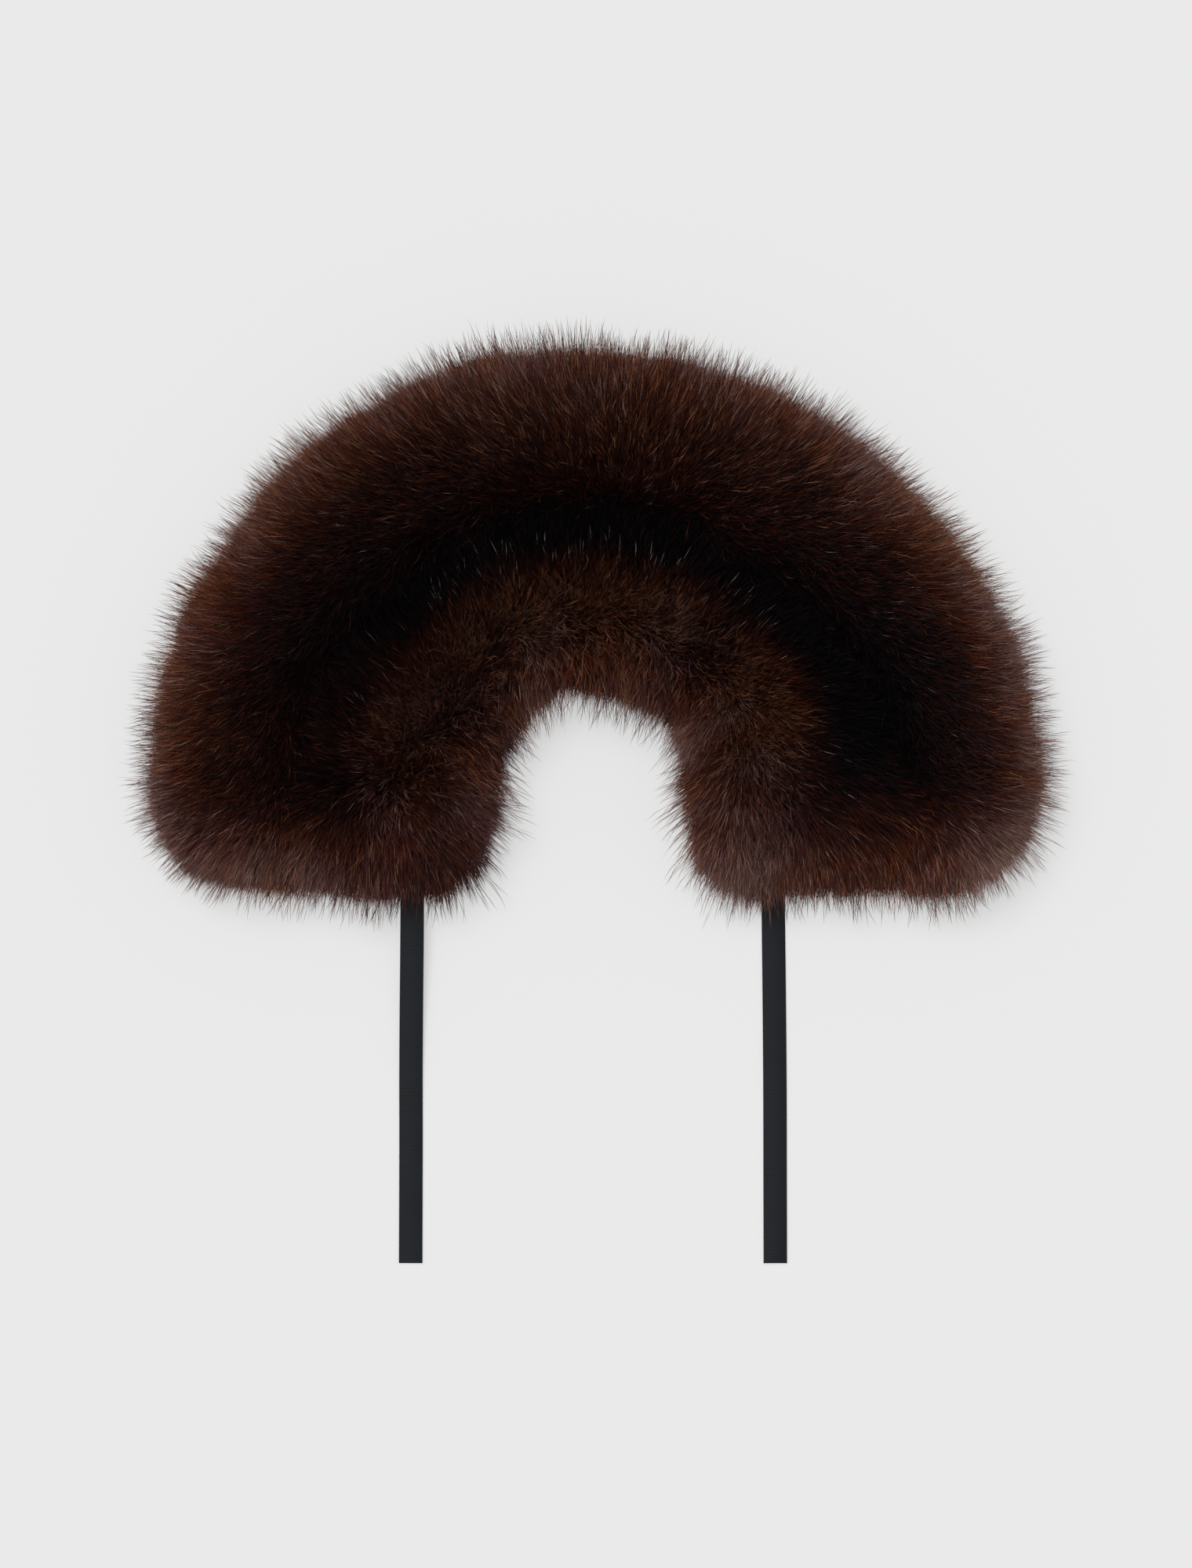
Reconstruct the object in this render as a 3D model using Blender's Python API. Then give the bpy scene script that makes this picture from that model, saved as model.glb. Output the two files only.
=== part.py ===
"""Fur collar wrap with ribbon ties, laid flat, as it rests when nobody wears it.

The collar is a horseshoe of deep pile round the neck opening. A roll line runs along its middle.
Outside the roll line lies the fall, inside it the stand. A grosgrain tie comes out of each front
end. Tables and driving sizes are in millimetres, and the model is in metres. +Z is up, +Y points
from the front ends to the back of the neck, and z = 0 is the surface that the collar lies on.
"""
import math
import random
from collections import namedtuple

import bmesh
import bpy
from mathutils import Vector

# %% Driving sizes, in millimetres
MM = 0.001
NECK_CENTRE_X = -0.4  # centre of the neck arc; it puts the middle of the whole part at the origin
NECK_CENTRE_Y = 7.7
ROLL_RADIUS = 150.0  # turns a distance along the roll line into an angle
FRONT_DROP = 62.0  # the front ends run straight down this far below the neck centre
SEAM_GAP = 0.3  # clearance between pieces that are sewn together
RIM_HEIGHT = 10.0  # height at which the pile reaches furthest out
BACKING_INSET = 22.0  # the backing, which lies on the surface, ends this far inside the pile
FRONT_ROUND = 55.0  # length over which the pile rises from a front edge to full height
CREST_SHARE = 0.42  # the crest's place between the roll line (0) and the edge (1)
LOCK_RELIEF = 2.6  # height of the locks of fur over the rounded form
TIE_WIDTH = 12.0
TIE_THICKNESS = 1.0
TIE_SEWN_IN = BACKING_INSET  # length of tie between the front edge and its stitching

ARC_HALF = ROLL_RADIUS * math.pi / 2  # roll line from the back of the neck to one side
ROLL_HALF = ARC_HALF + FRONT_DROP  # and on to the front edge

# %% The collar's sections
# along: distance along the roll line from the back of the neck, left end first
# neck, roll, rim: distance of each line from the neck centre
# stand, fall, valley: heights of the two crests and of the roll line between them
Section = namedtuple("Section", "along neck roll rim stand fall valley")
SECTIONS = [
    Section(-298, 52.5, 158.0, 231.0, 39, 43, 34),
    Section(-270, 50.0, 158.5, 234.5, 40, 44, 30),
    Section(-236, 47.0, 158.0, 235.0, 41, 46, 22),
    Section(-196, 45.6, 154.5, 235.3, 42, 47, 18),
    Section(-157, 45.0, 151.0, 232.3, 42, 48, 17),
    Section(-118, 46.5, 147.0, 232.5, 42, 49, 17),
    Section(-79, 48.5, 145.5, 231.7, 43, 50, 18),
    Section(-39, 50.5, 145.0, 231.6, 43, 50, 18),
    Section(0, 49.5, 144.5, 228.6, 43, 50, 18),
    Section(39, 48.0, 142.5, 226.6, 43, 50, 18),
    Section(79, 48.5, 141.5, 228.8, 43, 49, 18),
    Section(118, 48.0, 143.5, 228.8, 42, 49, 17),
    Section(157, 48.5, 149.0, 230.9, 42, 48, 17),
    Section(196, 46.5, 157.0, 233.8, 42, 47, 18),
    Section(236, 44.0, 163.0, 236.7, 41, 46, 22),
    Section(270, 46.0, 164.5, 234.5, 40, 44, 30),
    Section(298, 49.0, 163.0, 228.0, 39, 43, 34),
]

# Each band has a rounded corner at either front end: its reach along the front edge and its depth
Corner = namedtuple("Corner", "reach depth")
# seam_side is +1 where the band lies outside the roll line and -1 where it lies inside
Band = namedtuple("Band", "name edge crest seam_side left right pitch lock_reach seed")
BANDS = [
    Band("fur_fall", "rim", "fall", 1, Corner(58, 45), Corner(52, 50), 3.5, (5.0, 9.0), 11),
    Band("fur_stand", "neck", "stand", -1, Corner(36, 26), Corner(45, 26), 5.5, (3.0, 6.0), 12),
]
RISE_STEPS = 4  # columns from the roll line up to the crest
DROP_STEPS = 7  # columns from the crest down to the edge
FRONT_STEPS = 13  # rows over the rounding at each front end
LOCK_COLUMNS = 3  # a lock of fur runs over this many columns

# The ties: run is the distance below the neck centre, height is that of the underside
TiePoint = namedtuple("TiePoint", "run x height")
Tie = namedtuple("Tie", "name end_corner points")
TIES = [
    Tie("ribbon_left", 0.0, [
        TiePoint(FRONT_DROP - TIE_SEWN_IN, -95.7, 9.0),
        TiePoint(64.0, -95.8, 9.0),
        TiePoint(85.0, -95.9, 7.3),
        TiePoint(120.0, -96.1, 3.4),
        TiePoint(155.0, -96.3, 0.9),
        TiePoint(190.0, -96.5, 0.0),
        TiePoint(252.8, -96.7, 0.0),
    ]),
    Tie("ribbon_right", 1.2, [
        TiePoint(FRONT_DROP - TIE_SEWN_IN, 94.5, 0.0),
        TiePoint(64.0, 94.6, 0.0),
        TiePoint(110.0, 94.7, 0.0),
        TiePoint(160.0, 95.0, 0.0),
        TiePoint(210.0, 95.3, 0.0),
        TiePoint(252.8, 95.6, 0.0),
    ]),
]
TIE_STEP = 6.0  # length of one facet along a tie


# %% Reading the tables
def smooth_row(rows, place):
    """The table's row at a place between its rows, on a smooth curve through each column."""
    keys = [row[0] for row in rows]
    place = min(max(place, keys[0]), keys[-1])
    k = max(i for i in range(len(keys) - 1) if keys[i] <= place or i == 0)
    span = keys[k + 1] - keys[k]
    t = (place - keys[k]) / span

    def slope(i, column):
        low, high = max(i - 1, 0), min(i + 1, len(rows) - 1)
        return (rows[high][column] - rows[low][column]) / (keys[high] - keys[low])

    values = [place]
    for column in range(1, len(rows[0])):
        start, end = rows[k][column], rows[k + 1][column]
        rise_in, rise_out = slope(k, column) * span, slope(k + 1, column) * span
        values.append(
            (2 * t**3 - 3 * t**2 + 1) * start
            + (t**3 - 2 * t**2 + t) * rise_in
            + (3 * t**2 - 2 * t**3) * end
            + (t**3 - t**2) * rise_out
        )
    return type(rows[0])(*values)


def plan_point(along, radius):
    """Where a point at this radius lies in plan: round the neck, then straight down a front."""
    turn = max(-ARC_HALF, min(along, ARC_HALF)) / ROLL_RADIUS
    drop = max(abs(along) - ARC_HALF, 0.0)
    x = NECK_CENTRE_X + radius * math.sin(turn)
    y = NECK_CENTRE_Y + radius * math.cos(turn) - drop
    return x, y


def vertex_at(x, y, z):
    return Vector((x, y, z)) * MM


# %% The form of a band
def corner_inset(band, along):
    """How far the band's edge has drawn in at a section close to a front end."""
    corner = band.left if along < 0 else band.right
    front = ROLL_HALF - abs(along)
    if front >= corner.depth:
        return 0.0
    return corner.reach * (1 - math.sqrt(1 - (1 - front / corner.depth) ** 2))


def band_radius(band, along, share, pull_in=0.0):
    """Radius at a share of the way from the seam (0) to the edge (1), less a pull-in there."""
    section = smooth_row(SECTIONS, along)
    seam = section.roll + band.seam_side * SEAM_GAP / 2
    edge = getattr(section, band.edge) - band.seam_side * (corner_inset(band, along) + pull_in)
    return seam + (edge - seam) * share


def pile_height(band, along, share):
    """Height of the pile: up from the roll line to a crest, then round down to the edge."""
    section = smooth_row(SECTIONS, along)
    crest = getattr(section, band.crest)
    if share < CREST_SHARE:
        rise = math.sin(math.pi / 2 * share / CREST_SHARE)
        height = section.valley + (crest - section.valley) * rise
    else:
        drop = min((share - CREST_SHARE) / (1 - CREST_SHARE), 1.0)
        height = RIM_HEIGHT + (crest - RIM_HEIGHT) * math.sqrt(1 - drop**2)
    front = min((ROLL_HALF - abs(along)) / FRONT_ROUND, 1.0)
    return RIM_HEIGHT + (height - RIM_HEIGHT) * math.sqrt(1 - (1 - front) ** 2)


def row_places(pitch):
    """Places of the sections: close together at the rounded fronts, even in between."""
    turns = [math.pi / 2 * i / FRONT_STEPS for i in range(FRONT_STEPS + 1)]
    front = [FRONT_ROUND * (1 - math.cos(turn)) for turn in turns]
    start = ROLL_HALF - FRONT_ROUND
    count = 2 * round(start / pitch)
    middle = [-start + 2 * start * i / count for i in range(1, count)]
    return [d - ROLL_HALF for d in front] + middle + [ROLL_HALF - d for d in reversed(front)]


def column_shares():
    """Places across a band: even up to the crest, then even along the rounding to the edge."""
    rise = [CREST_SHARE * i / RISE_STEPS for i in range(RISE_STEPS)]
    turns = [math.pi / 2 * i / DROP_STEPS for i in range(DROP_STEPS + 1)]
    return rise + [CREST_SHARE + (1 - CREST_SHARE) * math.sin(turn) for turn in turns]


def backing_point(band, along, share):
    """The point of the backing's outline, on the surface, that lies below an edge point."""
    front = ROLL_HALF - abs(along)
    if front < 2 * BACKING_INSET:
        front = BACKING_INSET + front / 2
    along = math.copysign(ROLL_HALF - front, along)
    x, y = plan_point(along, band_radius(band, along, share, BACKING_INSET))
    return vertex_at(x, y, 0.0)


def lock_lift(row, column, rng):
    """Height of a lock at one point: locks lie in staggered ranks and rise towards their tips."""
    rank, step = divmod(column, LOCK_COLUMNS)
    raised = 1.0 if (row + rank) % 2 else -0.4
    return LOCK_RELIEF * raised * (step + 1) / LOCK_COLUMNS * rng.uniform(0.4, 1.0)


def raise_locks(bm, grid, rng):
    """Lift the locks off the rounded form along its normals, less and less towards its edges."""
    bmesh.ops.recalc_face_normals(bm, faces=bm.faces)
    bm.normal_update()
    last_row, last_column = len(grid) - 1, len(grid[0]) - 1
    up = math.copysign(1.0, grid[last_row // 2][RISE_STEPS].normal.z)
    lifts = []
    for i in range(1, last_row):
        for j in range(1, last_column):
            fade = min(j, last_column - j, 2) / 2 * min(i, last_row - i, 5) / 5
            lifts.append((grid[i][j], grid[i][j].normal * up * fade * lock_lift(i, j, rng) * MM))
    for vertex, lift in lifts:
        vertex.co += lift


# %% Building a band
def band_mesh(band):
    rng = random.Random(band.seed)
    places, shares = row_places(band.pitch), column_shares()
    last_row, last_column = len(places) - 1, len(shares) - 1
    bm = bmesh.new()

    grid = []
    for i, along in enumerate(places):
        row = []
        for j, share in enumerate(shares):
            x, y = plan_point(along, band_radius(band, along, share))
            row.append(bm.verts.new(vertex_at(x, y, pile_height(band, along, share))))
        grid.append(row)
    for i in range(last_row):
        for j in range(last_column):
            bm.faces.new((grid[i][j], grid[i + 1][j], grid[i + 1][j + 1], grid[i][j + 1]))
    raise_locks(bm, grid, rng)

    # The outline of the sheet, once round: up the seam, across one front, back along the edge
    outline = [(i, 0) for i in range(last_row)]
    outline += [(last_row, j) for j in range(last_column)]
    outline += [(i, last_column) for i in range(last_row, 0, -1)]
    outline += [(0, j) for j in range(last_column, 0, -1)]
    rim = [grid[i][j] for i, j in outline]
    backing = [bm.verts.new(backing_point(band, places[i], shares[j])) for i, j in outline]

    # Every other point of the free edge is the tip of a lock
    for (i, j), edge_point, base_point in zip(outline, rim, backing):
        free = j == last_column or (i in (0, last_row) and j > 0)
        if free and (i + j) % 2:
            outward = edge_point.co - base_point.co
            outward.z = 0.0
            edge_point.co += outward.normalized() * rng.uniform(*band.lock_reach) * MM
            edge_point.co.z += rng.uniform(-1.0, 1.0) * MM

    for k in range(len(rim)):
        n = (k + 1) % len(rim)
        bm.faces.new((rim[k], rim[n], backing[n], backing[k]))
    bm.faces.new(backing)
    bmesh.ops.recalc_face_normals(bm, faces=bm.faces)
    bmesh.ops.triangulate(bm, faces=bm.faces)
    mesh = bpy.data.meshes.new(band.name)
    bm.to_mesh(mesh)
    bm.free()
    return mesh


# %% Ties
def tie_sections(tie):
    """Four corners of the strap at even steps along its run, and narrower at a cut corner."""
    start, end = tie.points[0].run, tie.points[-1].run
    count = round((end - start) / TIE_STEP)
    runs = [start + (end - start) * i / count for i in range(count + 1)]
    if tie.end_corner:
        runs.insert(count, end - tie.end_corner)
    sections = []
    for run in runs:
        point = smooth_row(tie.points, run)
        half = TIE_WIDTH / 2 - (tie.end_corner if run == end else 0.0)
        low = max(point.height, 0.0)
        y = NECK_CENTRE_Y - run
        x = NECK_CENTRE_X + point.x
        corners = [(-half, 0.0), (half, 0.0), (half, TIE_THICKNESS), (-half, TIE_THICKNESS)]
        sections.append([vertex_at(x + dx, y, low + dz) for dx, dz in corners])
    return sections


def tie_mesh(tie):
    bm = bmesh.new()
    rings = [[bm.verts.new(corner) for corner in section] for section in tie_sections(tie)]
    for near, far in zip(rings, rings[1:]):
        for k in range(4):
            n = (k + 1) % 4
            bm.faces.new((near[k], near[n], far[n], far[k]))
    bm.faces.new(rings[0])
    bm.faces.new(reversed(rings[-1]))
    bmesh.ops.recalc_face_normals(bm, faces=bm.faces)
    mesh = bpy.data.meshes.new(tie.name)
    bm.to_mesh(mesh)
    bm.free()
    return mesh


def pocket_cutter(tie):
    """A box round the sewn-in end of a tie, the seam gap clear of it on every side."""
    top, height = tie.points[0], tie.points[0].height
    low_x, high_x = top.x - TIE_WIDTH / 2 - SEAM_GAP, top.x + TIE_WIDTH / 2 + SEAM_GAP
    far_run, near_run = FRONT_DROP + 15.0, top.run - SEAM_GAP
    low_z, high_z = height - SEAM_GAP, height + TIE_THICKNESS + SEAM_GAP
    bm = bmesh.new()
    bmesh.ops.create_cube(bm, size=1.0)
    size = Vector((high_x - low_x, far_run - near_run, high_z - low_z)) * MM
    middle = vertex_at(
        NECK_CENTRE_X + (low_x + high_x) / 2,
        NECK_CENTRE_Y - (far_run + near_run) / 2,
        (low_z + high_z) / 2,
    )
    bmesh.ops.scale(bm, vec=size, verts=bm.verts)
    mesh = bpy.data.meshes.new(tie.name + "_pocket")
    bm.to_mesh(mesh)
    bm.free()
    cutter = bpy.data.objects.new(tie.name + "_pocket", mesh)
    cutter.location = middle
    cutter.hide_render = True
    cutter.display_type = "WIRE"
    return cutter


# %% Materials
def linear(hex_colour):
    channels = [int(hex_colour[k : k + 2], 16) / 255 for k in (1, 3, 5)]
    return [c / 12.92 if c <= 0.04045 else ((c + 0.055) / 1.055) ** 2.4 for c in channels] + [1.0]


def cloth_material(name, hex_colour, roughness):
    material = bpy.data.materials.new(name)
    material.use_nodes = True
    shader = material.node_tree.nodes["Principled BSDF"]
    shader.inputs["Base Color"].default_value = linear(hex_colour)
    shader.inputs["Roughness"].default_value = roughness
    shader.inputs["Metallic"].default_value = 0.0
    return material


def add_piece(name, mesh, material, collar):
    mesh.materials.append(material)
    mesh.shade_smooth()
    mesh.set_sharp_from_angle(angle=math.radians(50))
    piece = bpy.data.objects.new(name, mesh)
    bpy.context.collection.objects.link(piece)
    piece.parent = collar
    return piece


# %% The whole collar
def main():
    for old in list(bpy.data.objects):
        bpy.data.objects.remove(old)
    fur = cloth_material("brown_fur", "#3A2018", 0.7)
    ribbon = cloth_material("black_grosgrain", "#212527", 0.55)
    collar = bpy.data.objects.new("collar", None)
    bpy.context.collection.objects.link(collar)

    bands = {band.name: add_piece(band.name, band_mesh(band), fur, collar) for band in BANDS}
    for tie in TIES:
        add_piece(tie.name, tie_mesh(tie), ribbon, collar)
        cutter = pocket_cutter(tie)
        bpy.context.collection.objects.link(cutter)
        cutter.parent = collar
        pocket = bands["fur_stand"].modifiers.new(tie.name + "_pocket", "BOOLEAN")
        pocket.operation = "DIFFERENCE"
        pocket.solver = "EXACT"
        pocket.object = cutter


main()
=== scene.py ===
# %% [markdown]
# # A deep-pile fur collar, laid flat
#
# The collar is a horseshoe of long faux fur. A roll line runs round its middle: outside it lies
# the fall, inside it the stand that hugs the neck. A black grosgrain ribbon comes out of each
# front end, to tie it with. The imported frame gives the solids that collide; this script makes
# what the eye sees: a thin cloth pelt for each band, the hairs that grow on it, and the ribbons.

# %% Tools and the frame
import math
from collections import namedtuple

import bpy
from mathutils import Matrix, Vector


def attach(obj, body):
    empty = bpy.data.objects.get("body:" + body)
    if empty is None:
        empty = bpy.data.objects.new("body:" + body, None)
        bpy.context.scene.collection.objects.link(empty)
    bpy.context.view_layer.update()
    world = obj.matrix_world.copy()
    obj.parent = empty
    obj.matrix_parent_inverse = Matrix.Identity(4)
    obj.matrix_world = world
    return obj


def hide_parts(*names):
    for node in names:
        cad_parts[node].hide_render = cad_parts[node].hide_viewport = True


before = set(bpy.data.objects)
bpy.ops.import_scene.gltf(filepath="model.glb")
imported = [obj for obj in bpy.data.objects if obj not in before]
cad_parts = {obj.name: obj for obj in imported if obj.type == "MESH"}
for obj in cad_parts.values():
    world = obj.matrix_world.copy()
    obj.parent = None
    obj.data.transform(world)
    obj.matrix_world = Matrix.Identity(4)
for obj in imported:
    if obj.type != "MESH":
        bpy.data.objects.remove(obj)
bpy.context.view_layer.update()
print("nodes:", sorted(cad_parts))

# %% [markdown]
# ## The camera
#
# The collar is seen from straight above, as in a catalogue. A long lens far away shows a thick,
# soft thing with little perspective. The height of the view, not the lens, is the size to keep,
# so the distance is worked out from it.

# %% Camera
VIEW_HEIGHT = 0.8276  # metres of floor from the top of the view to its bottom
VIEW_CENTRE = (0.0008, 0.0077)
LENS = 100.0
SENSOR = 36.0  # millimetres, on the view's longer side
RIM_LEVEL = 0.010  # height of the collar's outline, where the view's scale holds

camera_data = bpy.data.cameras.new("camera")
camera_data.lens = LENS
camera_data.sensor_width = SENSOR
camera = bpy.data.objects.new("camera", camera_data)
camera.location = (*VIEW_CENTRE, RIM_LEVEL + VIEW_HEIGHT * LENS / SENSOR)
bpy.context.scene.collection.objects.link(camera)
bpy.context.scene.camera = camera
print("camera height:", round(camera.location.z, 3))

# %% [markdown]
# ## Colours and nodes
#
# A colour is written as it looks on a screen, in sRGB hex, and the shader wants it linear, so
# one function turns it. One more function adds a node with its settings and its links, and gives
# back one of its outputs. Every tree in this file, for a material or a shape, is built with it.


# %% Two helpers
def linear(hex_colour):
    channels = [int(hex_colour[k : k + 2], 16) / 255 for k in (1, 3, 5)]
    return [c / 12.92 if c <= 0.04045 else ((c + 0.055) / 1.055) ** 2.4 for c in channels] + [1.0]


def add(tree, kind, inputs=(), out=0, **settings):
    """Add a node, set or link its inputs by place or by name, and return one output of it."""
    node = tree.nodes.new(kind)
    for name, value in settings.items():
        setattr(node, name, value)
    pairs = inputs.items() if isinstance(inputs, dict) else enumerate(inputs)
    for key, value in pairs:
        if isinstance(value, bpy.types.NodeSocket):
            tree.links.new(value, node.inputs[key])
        elif value is not None:
            node.inputs[key].default_value = value
    return node if out is None else node.outputs[out]


print("linear #808080:", [round(v, 3) for v in linear("#808080")])

# %% [markdown]
# ## Floor and light
#
# The floor is plain pale paper. A white world gives soft light from all sides, and one broad
# sun, up and to the left, gives the pile a lit side. Both reach every part of the floor equally,
# so the paper stays even from edge to edge, and only the fur shades it.

# %% Floor, world and sun
FLOOR_SIZE = 8.0
FLOOR_DROP = 0.0002  # keeps the floor just clear of what lies on it
PAPER_GLOW = 0.465  # light from behind the paper keeps the shadows on it faint
WORLD_STRENGTH = 0.45
SUN_STRENGTH = 2.0
SUN_ANGLE = math.radians(40)  # apparent size; a broad sun has soft shadows
SUN_TILT = (math.radians(-22), math.radians(-16), 0.0)

scene = bpy.context.scene
scene.view_settings.view_transform = "Standard"
world = bpy.data.worlds.new("studio")
world.use_nodes = True
background = world.node_tree.nodes["Background"]
background.inputs["Color"].default_value = linear("#FFFFFF")
background.inputs["Strength"].default_value = WORLD_STRENGTH
scene.world = world

sun_data = bpy.data.lights.new("sun", "SUN")
sun_data.energy = SUN_STRENGTH
sun_data.angle = SUN_ANGLE
sun = bpy.data.objects.new("sun", sun_data)
sun.rotation_euler = SUN_TILT
scene.collection.objects.link(sun)

paper = bpy.data.materials.new("matt_paper")
paper.use_nodes = True
paper_shader = paper.node_tree.nodes["Principled BSDF"]
paper_shader.inputs["Base Color"].default_value = linear("#A0A0A0")
paper_shader.inputs["Roughness"].default_value = 0.9
paper_shader.inputs["Specular IOR Level"].default_value = 0.1
paper_shader.inputs["Emission Color"].default_value = linear("#FFFFFF")
paper_shader.inputs["Emission Strength"].default_value = PAPER_GLOW

bpy.ops.mesh.primitive_plane_add(size=FLOOR_SIZE, location=(0, 0, -FLOOR_DROP))
floor = bpy.context.object
floor.name = "floor"
floor.data.materials.append(paper)
print("floor:", FLOOR_SIZE, "m")

# %% [markdown]
# ## The plan of the collar
#
# Every piece follows the same plan. A place on the collar has two numbers: `along`, the distance
# along the roll line from the back of the neck (left is negative), and `share`, how far across a
# band it lies, from the seam at the roll line (0) to the free edge (1). The roll line is half a
# circle, and then runs straight down each front. A short table gives the distance of the neck
# edge, the roll line and the rim from the neck's centre, and a smooth curve is read through it.

# %% Plan sizes, in millimetres
MM = 0.001
NECK_CENTRE = (-0.4, 7.7)
ROLL_RADIUS = 150.0
FRONT_DROP = 62.0  # the fronts run straight down this far below the neck centre
ARC_HALF = ROLL_RADIUS * math.pi / 2
ROLL_HALF = ARC_HALF + FRONT_DROP

Section = namedtuple("Section", "along neck roll rim")
SECTIONS = [
    Section(-298, 52.5, 158.0, 231.0),
    Section(-270, 50.0, 158.5, 234.5),
    Section(-236, 47.0, 158.0, 235.0),
    Section(-196, 45.6, 154.5, 235.3),
    Section(-157, 45.0, 151.0, 232.3),
    Section(-118, 46.5, 147.0, 232.5),
    Section(-79, 48.5, 145.5, 231.7),
    Section(-39, 50.5, 145.0, 231.6),
    Section(0, 49.5, 144.5, 228.6),
    Section(39, 48.0, 142.5, 226.6),
    Section(79, 48.5, 141.5, 228.8),
    Section(118, 48.0, 143.5, 228.8),
    Section(157, 48.5, 149.0, 230.9),
    Section(196, 46.5, 157.0, 233.8),
    Section(236, 44.0, 163.0, 236.7),
    Section(270, 46.0, 164.5, 234.5),
    Section(298, 49.0, 163.0, 228.0),
]


# %% Reading the plan
def smooth(rows, place):
    """The table's row at a place between its rows, on a smooth curve through each column."""
    place = min(max(place, rows[0][0]), rows[-1][0])
    k = max(i for i in range(len(rows) - 1) if rows[i][0] <= place)
    before, low, high, after = (rows[min(max(k + d, 0), len(rows) - 1)] for d in (-1, 0, 1, 2))
    span = high[0] - low[0]
    t = (place - low[0]) / span
    values = [place]
    for a, b, c, d in list(zip(before, low, high, after))[1:]:
        slope_in = (c - a) / (high[0] - before[0]) * span
        slope_out = (d - b) / (after[0] - low[0]) * span
        bend = (t**3 - 2 * t**2 + t) * slope_in + (t**3 - t**2) * slope_out
        values.append(b + (c - b) * (3 * t**2 - 2 * t**3) + bend)
    return values


def ease(value, start, end):
    """0 at the start, 1 at the end and a smooth step between, whichever way that goes."""
    t = min(max((value - start) / (end - start), 0.0), 1.0)
    return t * t * (3 - 2 * t)


def within(value, ramps):
    """1 past every ramp and 0 before any of them; a ramp is where a step starts and ends."""
    return math.prod(ease(value, start, end) for start, end in ramps)


def outward(along):
    """The level direction away from the neck."""
    turn = max(-ARC_HALF, min(along, ARC_HALF)) / ROLL_RADIUS
    return Vector((math.sin(turn), math.cos(turn), 0.0))


def plan_point(along, radius):
    drop = max(abs(along) - ARC_HALF, 0.0)
    return Vector((NECK_CENTRE[0], NECK_CENTRE[1] - drop, 0.0)) + outward(along) * radius


print("roll line:", round(2 * ROLL_HALF), "mm long")

# %% [markdown]
# ## The pelts
#
# Under the hairs each band is a piece of knitted backing cloth, cut as a half ring, rolled over
# a little wadding and turned under at its free edge. It lies well inside the outline that the
# hair tips reach, so it is drawn as the plan less an inset. Its height is a low crown: it starts
# in the valley at the roll line, rises to a crest and rounds down to the floor at the edge. The
# cloth is modelled as a grid of its own sizes with a Solidify modifier for its thickness.

# %% Pelt sizes, in millimetres
Corner = namedtuple("Corner", "reach depth")
# edge is its free edge's column in SECTIONS, side is +1 outside the roll line and -1 inside it,
# crest and valley are heights of the cloth, and left and right round off the front corners
Band = namedtuple("Band", "name edge side crest valley left right")
FALL = Band("fall", 3, 1, 25.0, 4.0, Corner(52, 42), Corner(52, 50))
STAND = Band("stand", 1, -1, 17.0, 4.0, Corner(36, 26), Corner(45, 26))
PELT_INSET = 24.0  # from the outline of the hair tips to the cloth's edge
PELT_THICKNESS = 1.6
PELT_EDGE_HEIGHT = 2.2  # of the cloth's upper side at its free edge
CREST_SHARE = 0.45
SEAM_GAP = 0.3
FRONT_RISE = 34.0  # length over which the pelt rises from its front edge
VALLEY_FILL = 9.0  # how much shallower the valley gets towards the fronts
VALLEY_FILLS = (ARC_HALF - 30, ROLL_HALF - 30)  # between these places on the roll line
LEAST_CORNER = 8.0  # the cloth's own corners are at least this round
ROWS = 150
COLUMNS = 18
ROWS_GATHER = 0.35  # how far the rows draw together towards the fronts, where the cloth bends


def corner_inset(band, along, front):
    """How far the cloth's edge draws in beside a rounded front corner."""
    corner = band.left if along < 0 else band.right
    reach = max(corner.reach - PELT_INSET, LEAST_CORNER)
    depth = max(corner.depth - PELT_INSET, LEAST_CORNER)
    if front >= depth:
        return 0.0
    return reach * (1 - math.sqrt(1 - (1 - front / depth) ** 2))


def pelt_place(band, along, share):
    """A point on the upper side of the cloth, in millimetres."""
    section = smooth(SECTIONS, along)
    front = ROLL_HALF - PELT_INSET - abs(along)
    seam = section[2] + band.side * SEAM_GAP / 2
    edge = section[band.edge] - band.side * (PELT_INSET + corner_inset(band, along, front))
    place = plan_point(along, seam + (edge - seam) * share)
    valley = band.valley + VALLEY_FILL * ease(abs(along), *VALLEY_FILLS)
    if share < CREST_SHARE:
        height = valley + (band.crest - valley) * math.sin(math.pi / 2 * share / CREST_SHARE)
    else:
        drop = (share - CREST_SHARE) / (1 - CREST_SHARE)
        height = PELT_EDGE_HEIGHT + (band.crest - PELT_EDGE_HEIGHT) * math.sqrt(1 - drop**2)
    rise = math.sqrt(1 - (1 - min(front / FRONT_RISE, 1.0)) ** 2)
    place.z = PELT_EDGE_HEIGHT + (height - PELT_EDGE_HEIGHT) * rise
    return place


# %% [markdown]
# ## The lie of the hair
#
# A furrier combs a pelt in one direction, and that lie is what makes it look like fur. On the
# fall the hairs lean away from the roll line, a little at first and flat at the rim, and sweep
# towards the fronts. On the stand most lean over the furrow, and those at the neck edge turn into
# the opening. At each front there is a crown, as on any animal: the hairs fan out from it, and
# hang straight over the front edge. The direction is worked out here for every point of the pelt.

# %% The lie at a place
Lean = namedtuple("Lean", "share angle")  # degrees from upright, positive is away from the neck
FALL_LEAN = [Lean(0, 30), Lean(0.25, 34), Lean(0.5, 44), Lean(0.75, 62), Lean(1, 90)]
STAND_LEAN = [
    Lean(0, 44), Lean(0.3, 40), Lean(0.6, 31), Lean(0.81, 2), Lean(0.91, -48), Lean(1, -90),
]

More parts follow.
